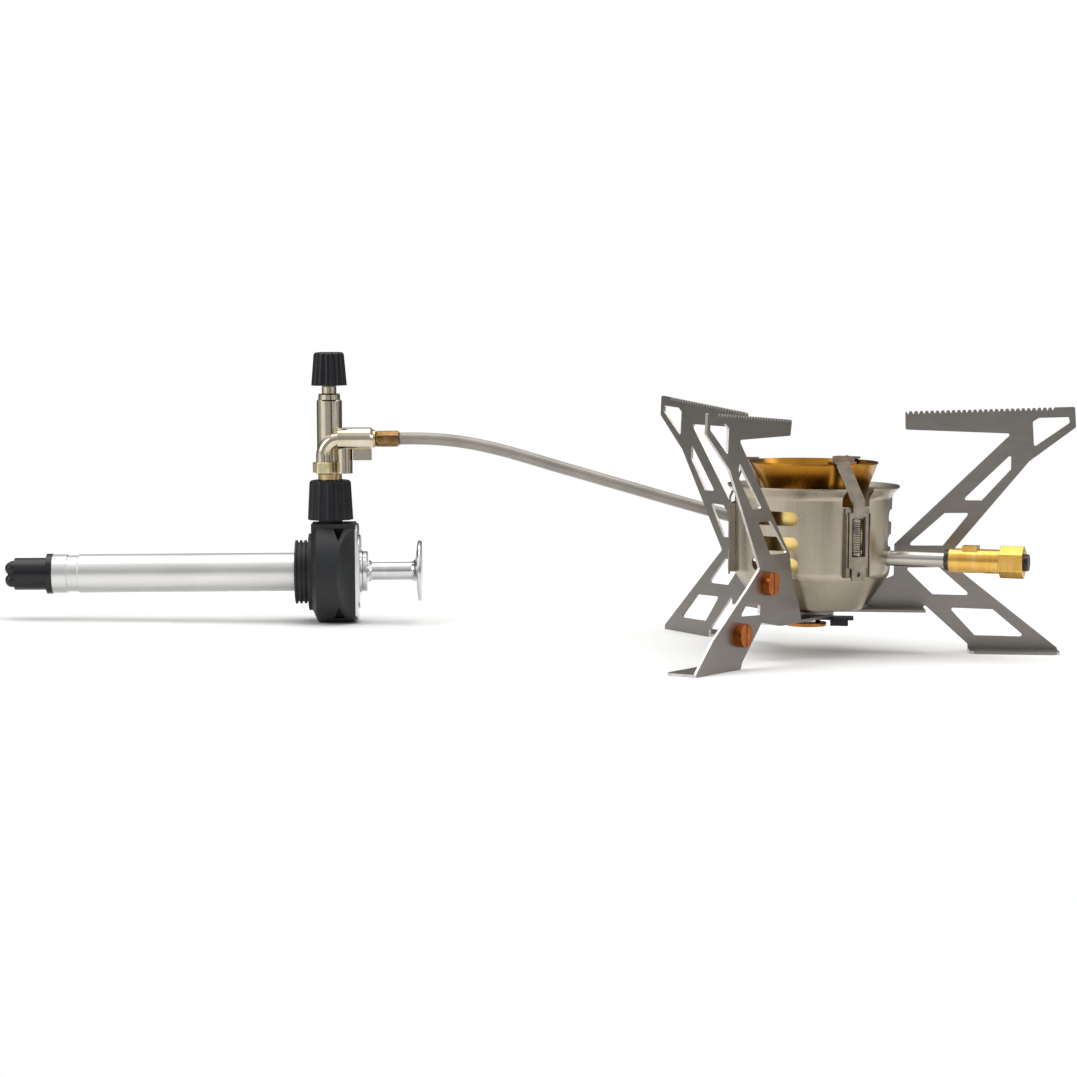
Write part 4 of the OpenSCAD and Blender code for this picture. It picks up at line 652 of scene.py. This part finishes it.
# Turned pieces: a profile of (radius, distance) pairs in millimetres, spun round an axis
def spun(name, profile, segments, axis, start, smoothAngle=35, phase=0.0):
    bm = bmesh.new()
    along = Vector(axis).normalized()
    across = along.orthogonal().normalized()
    other = along.cross(across)
    base = Vector(start) * mm
    turns = [2 * math.pi * (k + phase) / segments for k in range(segments)]
    spokes = [across * math.cos(t) + other * math.sin(t) for t in turns]
    rings = []
    for radius, distance in profile:
        centre = base + along * distance * mm
        rings.append([bm.verts.new(centre + spoke * radius * mm) for spoke in spokes])
    joinRings(bm, zip(rings, rings[1:] + rings[:1]))
    bmesh.ops.recalc_face_normals(bm, faces=bm.faces)
    return keepMesh(name, bm, smoothAngle)


def roundedRing(inner, outer, low, high, fillet, steps=5):
    # Profile of a ring with rounded corners
    corners = [
        (inner + fillet, low + fillet, 180), (outer - fillet, low + fillet, 270),
        (outer - fillet, high - fillet, 0), (inner + fillet, high - fillet, 90),
    ]
    profile = []
    for r, d, first in corners:
        for k in range(steps + 1):
            angle = math.radians(first + 90 * k / steps)
            profile.append((r + fillet * math.cos(angle), d + fillet * math.sin(angle)))
    return profile


def stackedSeals(inner, outer, each, count, groove, lip):
    # Profile of seals on top of each other, with a groove where two meet
    profile = []
    for k in range(count):
        low, high = k * each, k * each + each
        profile += [(outer - groove, low), (outer, low + lip), (outer, high - lip), (outer - groove, high)]
    return profile + [(inner, count * each), (inner, 0)]


# Crimped sleeves: eight pressed flats between chamfered ends, with the hose's bore
sleeve = {
    "flats": 8, "bore": 2.72, "chamfer": 0.9, "slope": 0.55,
    "sharpAngle": 20, "rounding": 0.35, "steps": 3,
}
valveSleeve = {"start": (-193.8, 80, 82), "length": 10.6, "radius": 3.8}
burnerSleeve = {"azimuth": 84, "out": 37.7, "height": 47.5, "length": 9.3, "radius": 3.65}


def crimpedSleeve(name, axis, start, length, radius):
    inner, edge = sleeve["bore"], sleeve["chamfer"]
    end = radius - edge * sleeve["slope"]
    profile = [(inner, 0), (end, 0), (radius, edge), (radius, length - edge), (end, length), (inner, length)]
    piece = spun(name, profile, sleeve["flats"], axis, start, sleeve["sharpAngle"], 0.5)
    return roundedEdges(piece, sleeve["rounding"], sleeve["steps"], sleeve["sharpAngle"])


def makeSleeves():
    values = (valveSleeve["start"], valveSleeve["length"], valveSleeve["radius"])
    piece = moved(crimpedSleeve("valveEndSleeve", eastward, *values), leaning)
    made["valve_ferrule"] = place(piece, "valve_ferrule", bronzeSleeve)
    az, out = math.radians(burnerSleeve["azimuth"]), burnerSleeve["out"]
    start = (out * math.cos(az), out * math.sin(az), burnerSleeve["height"])
    axis = (math.cos(az), math.sin(az), 0)
    piece = crimpedSleeve("burnerEndSleeve", axis, start, burnerSleeve["length"], burnerSleeve["radius"])
    made["burner_ferrule"] = place(piece, "burner_ferrule", bronzeSleeve)


makeSleeves()

# The outlet's ring, the seals and the felt filter, in millimetres
turnedRings = {
    "outletRing": {
        "node": "side_nut", "finish": paleBrass, "hides": False,
        "profile": roundedRing(2.4, 3.95, 0, 0.9, 0.25), "segments": 48,
        "axis": eastward, "start": (-194.7, 80, 82),
    },
    "bottleGasketRing": {
        "node": "bottle_gasket", "finish": sealRubber, "hides": True,
        "profile": roundedRing(13.25, 16.15, 0, 0.85, 0.3), "segments": 96,
        "axis": eastward, "start": onPump(-224.1),
    },
    "spindleSealStack": {
        "node": "spindle_seal", "finish": sealRubber, "hides": True,
        "profile": stackedSeals(inner=1.56, outer=2.98, each=1.66, count=3, groove=0.35, lip=0.4),
        "segments": 40, "axis": upward, "start": (pump["gripX"], pump["y"], 97.0),
    },
    "stemSealRing": {
        "node": "stem_seal", "finish": sealRubber, "hides": True,
        "profile": roundedRing(2.92, 3.88, 0.05, 1.75, 0.3), "segments": 48,
        "axis": upward, "start": (pump["gripX"], pump["y"], 33.8),
    },
    "feltFuelFilter": {
        "node": "fuel_filter", "finish": padFibre, "hides": True,
        "profile": roundedRing(0.4, 2.58, 0, 4.98, 0.35), "segments": 40,
        "axis": eastward, "start": onPump(-357.9),
    },
}
for name, ring in turnedRings.items():
    piece = spun(name, ring["profile"], ring["segments"], ring["axis"], ring["start"])
    place(moved(piece, leaning), ring["node"], ring["finish"], hides=ring["hides"])

# Priming pad: a felt ring with a soft crown and an uneven surface
felt = {
    "inner": 5.45, "outer": 18.5, "low": 19.15, "high": 22.9,
    "rows": 26,  # points of the crown's profile
    "shoulder": 0.35,  # shares of the height, at the edge and above it
    "crown": 0.6,
    "edge": 0.5,
    "lift": 0.05,
    "segments": 120, "sharpAngle": 80,
    "lumps": 0.22, "lumpsPerMetre": 420, "lumpsFrom": 1,
}


def makeFelt():
    inner, outer, edge = felt["inner"], felt["outer"], felt["edge"]
    middle, half = (inner + outer) / 2, (outer - inner) / 2
    height = felt["high"] - felt["low"]
    profile = []
    for k in range(felt["rows"]):
        t = k / (felt["rows"] - 1) * 2 - 1
        crown = (1 - abs(t) ** 6) ** 0.5
        profile.append((middle + half * t, height * (felt["shoulder"] + felt["crown"] * crown)))
    profile += [(outer, edge), (outer - edge, felt["lift"]), (inner + edge, felt["lift"]), (inner, edge)]
    pad = spun("primingFeltPad", profile, felt["segments"], upward, (0, 0, felt["low"]), felt["sharpAngle"])
    for vertex in pad.data.vertices:
        if vertex.co.z > (felt["low"] + felt["lumpsFrom"]) * mm:
            vertex.co.z += noise.noise(vertex.co * felt["lumpsPerMetre"]) * felt["lumps"] * mm
    return place(pad, "priming_pad", padFibre)


makeFelt()

# Leather cup of the piston: a floor and a thin lip that leans out
leather = {"outer": 7.5, "lip": 7.35, "bore": 2.55, "low": -315.8, "segments": 64, "sharpAngle": 50}


def makeLeatherCup():
    outer, lip, bore = leather["outer"], leather["lip"], leather["bore"]
    profile = [
        (bore, 0), (6.4, 0), (7.0, 0.25), (7.3, 0.8), (lip, 2), (outer, 4.6), (outer - 0.15, 5.7),
        (outer - 0.55, 5.98), (outer - 1.0, 5.6), (outer - 1.15, 3), (6.0, 1.7), (5.4, 1.2), (bore, 1.15),
    ]
    start, angle = onPump(leather["low"]), leather["sharpAngle"]
    piece = spun("leatherPistonCup", profile, leather["segments"], eastward, start, angle)
    return place(moved(piece, leaning), "piston_cup", cupLeather)


makeLeatherCup()
print("Turned the sleeves, seals, felt and leather")

# Coil springs from one node tree: a closed turn at each end and open turns between
coilShape = {
    "inputs": [
        ("Mean Radius", "NodeSocketFloat", 0.002), ("Wire Radius", "NodeSocketFloat", 0.0003),
        ("Length", "NodeSocketFloat", 0.01), ("Turns", "NodeSocketInt", 8),
        ("Wire", "NodeSocketMaterial", None),
    ],
    "pointsPerTurn": 28,
    "wireSides": 10,
    # From one share of the wire to another, and the share of the height climbed between them
    "climbs": [(0.0, 0.1, 0.052), (0.1, 0.9, 0.896), (0.9, 1.0, 0.052)],
}


def coilTree():
    tree = bpy.data.node_groups.new("closedEndCoil", "GeometryNodeTree")
    tree.is_modifier = True
    for label, kind, value in coilShape["inputs"]:
        socket = tree.interface.new_socket(label, in_out="INPUT", socket_type=kind)
        if value is not None:
            socket.default_value = value
    tree.interface.new_socket("Geometry", in_out="OUTPUT", socket_type="NodeSocketGeometry")
    sizes = addNode(tree, "NodeGroupInput").outputs
    line = addNode(tree, "GeometryNodeCurvePrimitiveLine")
    count = addNode(tree, "ShaderNodeMath", {0: sizes["Turns"], 1: coilShape["pointsPerTurn"]},
                    operation="MULTIPLY")
    dotted = addNode(tree, "GeometryNodeResampleCurve", {
        "Curve": line.outputs["Curve"], "Count": count.outputs["Value"],
    })
    share = addNode(tree, "GeometryNodeSplineParameter").outputs["Factor"]
    turned = addNode(tree, "ShaderNodeMath", {0: share, 1: sizes["Turns"]}, operation="MULTIPLY")
    angle = addNode(tree, "ShaderNodeMath", {0: turned.outputs["Value"], 1: 2 * math.pi},
                    operation="MULTIPLY").outputs["Value"]
    east = addNode(tree, "ShaderNodeMath", {0: angle}, operation="COSINE").outputs["Value"]
    north = addNode(tree, "ShaderNodeMath", {0: angle}, operation="SINE").outputs["Value"]
    climb = 0.0
    for low, high, rise in coilShape["climbs"]:
        part = addNode(tree, "ShaderNodeMapRange", {
            "Value": share, "From Min": low, "From Max": high, "To Min": 0.0, "To Max": rise,
        })
        total = addNode(tree, "ShaderNodeMath", {0: climb, 1: part.outputs["Result"]}, operation="ADD")
        climb = total.outputs["Value"]
    spot = {}
    for axis, way, size in (("X", east, "Mean Radius"), ("Y", north, "Mean Radius"), ("Z", climb, "Length")):
        stretched = addNode(tree, "ShaderNodeMath", {0: way, 1: sizes[size]}, operation="MULTIPLY")
        spot[axis] = stretched.outputs["Value"]
    coiled = addNode(tree, "GeometryNodeSetPosition", {
        "Geometry": dotted.outputs["Curve"],
        "Position": addNode(tree, "ShaderNodeCombineXYZ", spot).outputs["Vector"],
    })
    circle = addNode(tree, "GeometryNodeCurvePrimitiveCircle", {
        "Resolution": coilShape["wireSides"], "Radius": sizes["Wire Radius"],
    })
    wire = addNode(tree, "GeometryNodeCurveToMesh", {
        "Curve": coiled.outputs["Geometry"], "Profile Curve": circle.outputs["Curve"], "Fill Caps": True,
    })
    smooth = addNode(tree, "GeometryNodeSetShadeSmooth", {"Geometry": wire.outputs["Mesh"]})
    real = addNode(tree, "GeometryNodeRealizeInstances", {"Geometry": smooth.outputs["Geometry"]})
    painted = addNode(tree, "GeometryNodeSetMaterial", {
        "Geometry": real.outputs["Geometry"], "Material": sizes["Wire"],
    })
    addNode(tree, "NodeGroupOutput", {"Geometry": painted.outputs["Geometry"]})
    return tree


def fromTree(name, tree, values):
    # The tree's result as a plain mesh
    piece = bpy.data.objects.new(name, bpy.data.meshes.new(name))
    bpy.context.scene.collection.objects.link(piece)
    shape = piece.modifiers.new("shape", "NODES")
    shape.node_group = tree
    for socket in tree.interface.items_tree:
        if socket.in_out == "INPUT" and socket.name in values:
            shape[socket.identifier] = values[socket.name]
    return settled(piece)


clipSpring = {
    "azimuths": (-56.7, 63.3, 183.3), "x": 32.0, "low": 42.1, "top": 57.8,
    "meanRadius": 2.25, "wireRadius": 0.35, "turns": 18,
    "keep": 0.81,  # share of its length when the strap is up
}
checkSpring = {"low": -347.2, "length": 7.95, "meanRadius": 2.28, "wireRadius": 0.3, "turns": 5}
coil = coilTree()


def coilSpring(name, spring, length):
    return fromTree(name, coil, {
        "Mean Radius": spring["meanRadius"] * mm,
        "Wire Radius": spring["wireRadius"] * mm,
        "Length": (length - 2 * spring["wireRadius"]) * mm,
        "Turns": spring["turns"],
        "Wire": springSteel,
    })


def makeClipSprings():
    length = clipSpring["top"] - clipSpring["low"]
    foot = Vector((clipSpring["x"], 0, clipSpring["low"] + clipSpring["wireRadius"])) * mm
    for number, azimuth in enumerate(clipSpring["azimuths"], 1):
        spring = coilSpring("clipCoil" + str(number), clipSpring, length)
        turn = Matrix.Rotation(math.radians(azimuth), 4, "Z")
        place(moved(spring, turn @ Matrix.Translation(foot)), "clip_spring_" + str(number), springSteel)
        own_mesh(spring)


def makeCheckSpring():
    spring = coilSpring("checkCoil", checkSpring, checkSpring["length"])
    foot = Vector(onPump(checkSpring["low"] + checkSpring["wireRadius"])) * mm
    lie = Matrix.Translation(foot) @ Matrix.Rotation(math.radians(90), 4, "Y")
    place(moved(spring, leaning @ lie), "check_spring", springSteel)


makeClipSprings()
makeCheckSpring()
print("Coiled the springs")

place(hosePiece, "fuel_hose", hoseCover)

# Floor, lights and sky, in metres
studio = {
    "floorColour": "#f7f7f6",
    "floorRadius": 7.0,
    "floorSegments": 96,
    "fade": (0.28, 0.75),  # how far out the paper turns to plain white
    "fadeSquash": (0.6, 1.0, 1.0),  # it reaches further out to the sides
    "sky": 0.9,
    "overhead": (0.35, 0.75),  # how steeply up the panels turn to one even grey
    "overheadColour": (0.95, 0.95, 0.95, 1.0),
    "aim": (-0.1, 0, 0.04),
    "top": {"place": (-0.1, 0.2, 1.5), "size": (1.7, 1.3), "watts": 13},
    "left": {"place": (-1.5, -0.9, 0.9), "size": (0.9, 1.1), "watts": 7},
    "right": {"place": (1.6, 0.15, 0.9), "size": (0.7, 1.1), "watts": 5},
    # What polished metal mirrors round the horizon, from the camera's side by way of the left:
    # bright panels between dark gaps
    "panels": [
        (0.0, 0.45), (0.09, 0.48), (0.13, 1.1), (0.2, 1.1), (0.235, 0.5),
        (0.31, 0.3), (0.35, 0.1), (0.5, 0.08), (0.7, 0.12), (0.755, 0.8),
        (0.9, 0.8), (0.922, 0.07), (0.948, 0.07), (0.968, 0.45), (1.0, 0.45),
    ],
}
white = (1.0, 1.0, 1.0, 1.0)


def panelRing(tree, direction):
    # The panels' brightness by compass direction
    heading = addNode(tree, "ShaderNodeSeparateXYZ", {"Vector": direction})
    around = addNode(tree, "ShaderNodeMath", {0: heading.outputs["X"], 1: heading.outputs["Y"]},
                     operation="ARCTAN2")
    share = addNode(tree, "ShaderNodeMapRange", {
        "Value": around.outputs["Value"], "From Min": -math.pi, "From Max": math.pi,
    })
    greys = [(t, (v, v, v, 1.0)) for t, v in studio["panels"]]
    ring = addNode(tree, "ShaderNodeValToRGB", {"Fac": share.outputs["Result"]}, stops=greys)
    return heading, ring


def makeFloor():
    # White paper that catches shadows near the object and runs out to plain white behind it
    bm = bmesh.new()
    segments, radius = studio["floorSegments"], studio["floorRadius"]
    bmesh.ops.create_circle(bm, cap_ends=True, segments=segments, radius=radius)
    floor = keepMesh("studioFloor", bm)
    material, tree = emptyMaterial("whitePaperSweep")
    spot = addNode(tree, "ShaderNodeTexCoord").outputs["Object"]
    fibre = addNode(tree, "ShaderNodeTexNoise", {"Vector": spot, "Scale": sized(2), "Detail": 3.0})
    gloss = addNode(tree, "ShaderNodeMapRange", {
        "Value": fibre.outputs["Fac"], "To Min": 0.75, "To Max": 0.9,
    })
    paper = addNode(tree, "ShaderNodeBsdfPrincipled", {
        "Base Color": fromHex(studio["floorColour"]), "Roughness": gloss.outputs["Result"],
    })
    away = addNode(tree, "ShaderNodeMapping", {"Vector": spot, "Scale": studio["fadeSquash"]})
    far = addNode(tree, "ShaderNodeVectorMath", {0: away.outputs["Vector"]}, operation="LENGTH")
    fade = addNode(tree, "ShaderNodeMapRange", {
        "Value": far.outputs["Value"], "From Min": studio["fade"][0], "From Max": studio["fade"][1],
    })
    ring = panelRing(tree, spot)[1]
    ray = addNode(tree, "ShaderNodeLightPath").outputs
    seen = addNode(tree, "ShaderNodeMix", {
        0: ray["Is Camera Ray"], 6: ring.outputs["Color"], 7: white,
    }, data_type="RGBA")
    horizon = addNode(tree, "ShaderNodeEmission", {"Color": seen.outputs[2], "Strength": 1.0})
    shader = addNode(tree, "ShaderNodeMixShader", {
        "Fac": fade.outputs["Result"], 1: paper.outputs["BSDF"], 2: horizon.outputs["Emission"],
    })
    addNode(tree, "ShaderNodeOutputMaterial", {"Surface": shader.outputs["Shader"]})
    floor.data.materials.append(material)


def makeLight(name, values):
    light = bpy.data.lights.new(name, "AREA")
    light.shape = "RECTANGLE"
    light.size, light.size_y = values["size"]
    light.energy = values["watts"]
    lamp = bpy.data.objects.new(name, light)
    lamp.location = values["place"]
    lamp.rotation_mode = "QUATERNION"
    lamp.rotation_quaternion = (Vector(studio["aim"]) - Vector(values["place"])).to_track_quat("-Z", "Y")
    lamp.visible_camera = False
    bpy.context.scene.collection.objects.link(lamp)


def makeSky():
    # White behind the object, panels and dark gaps around it for the metals to mirror
    world = bpy.data.worlds.new("whiteStudio")
    world.use_nodes = True
    tree = world.node_tree
    tree.nodes.clear()
    ray = addNode(tree, "ShaderNodeLightPath").outputs
    heading, ring = panelRing(tree, addNode(tree, "ShaderNodeTexCoord").outputs["Generated"])
    overhead = addNode(tree, "ShaderNodeMapRange", {
        "Value": heading.outputs["Z"], "From Min": studio["overhead"][0], "From Max": studio["overhead"][1],
    })
    dome = addNode(tree, "ShaderNodeMix", {
        0: overhead.outputs["Result"], 6: ring.outputs["Color"], 7: studio["overheadColour"],
    }, data_type="RGBA")
    around = addNode(tree, "ShaderNodeBackground", {"Color": dome.outputs[2], "Strength": studio["sky"]})
    backdrop = addNode(tree, "ShaderNodeBackground", {"Color": white, "Strength": 1.0})
    seen = addNode(tree, "ShaderNodeMixShader", {
        "Fac": ray["Is Camera Ray"], 1: around.outputs["Background"], 2: backdrop.outputs["Background"],
    })
    addNode(tree, "ShaderNodeOutputWorld", {"Surface": seen.outputs["Shader"]})
    bpy.context.scene.world = world


makeFloor()
for side in ("top", "left", "right"):
    makeLight(side + "Softbox", studio[side])
makeSky()
print("Set the floor and the lights")
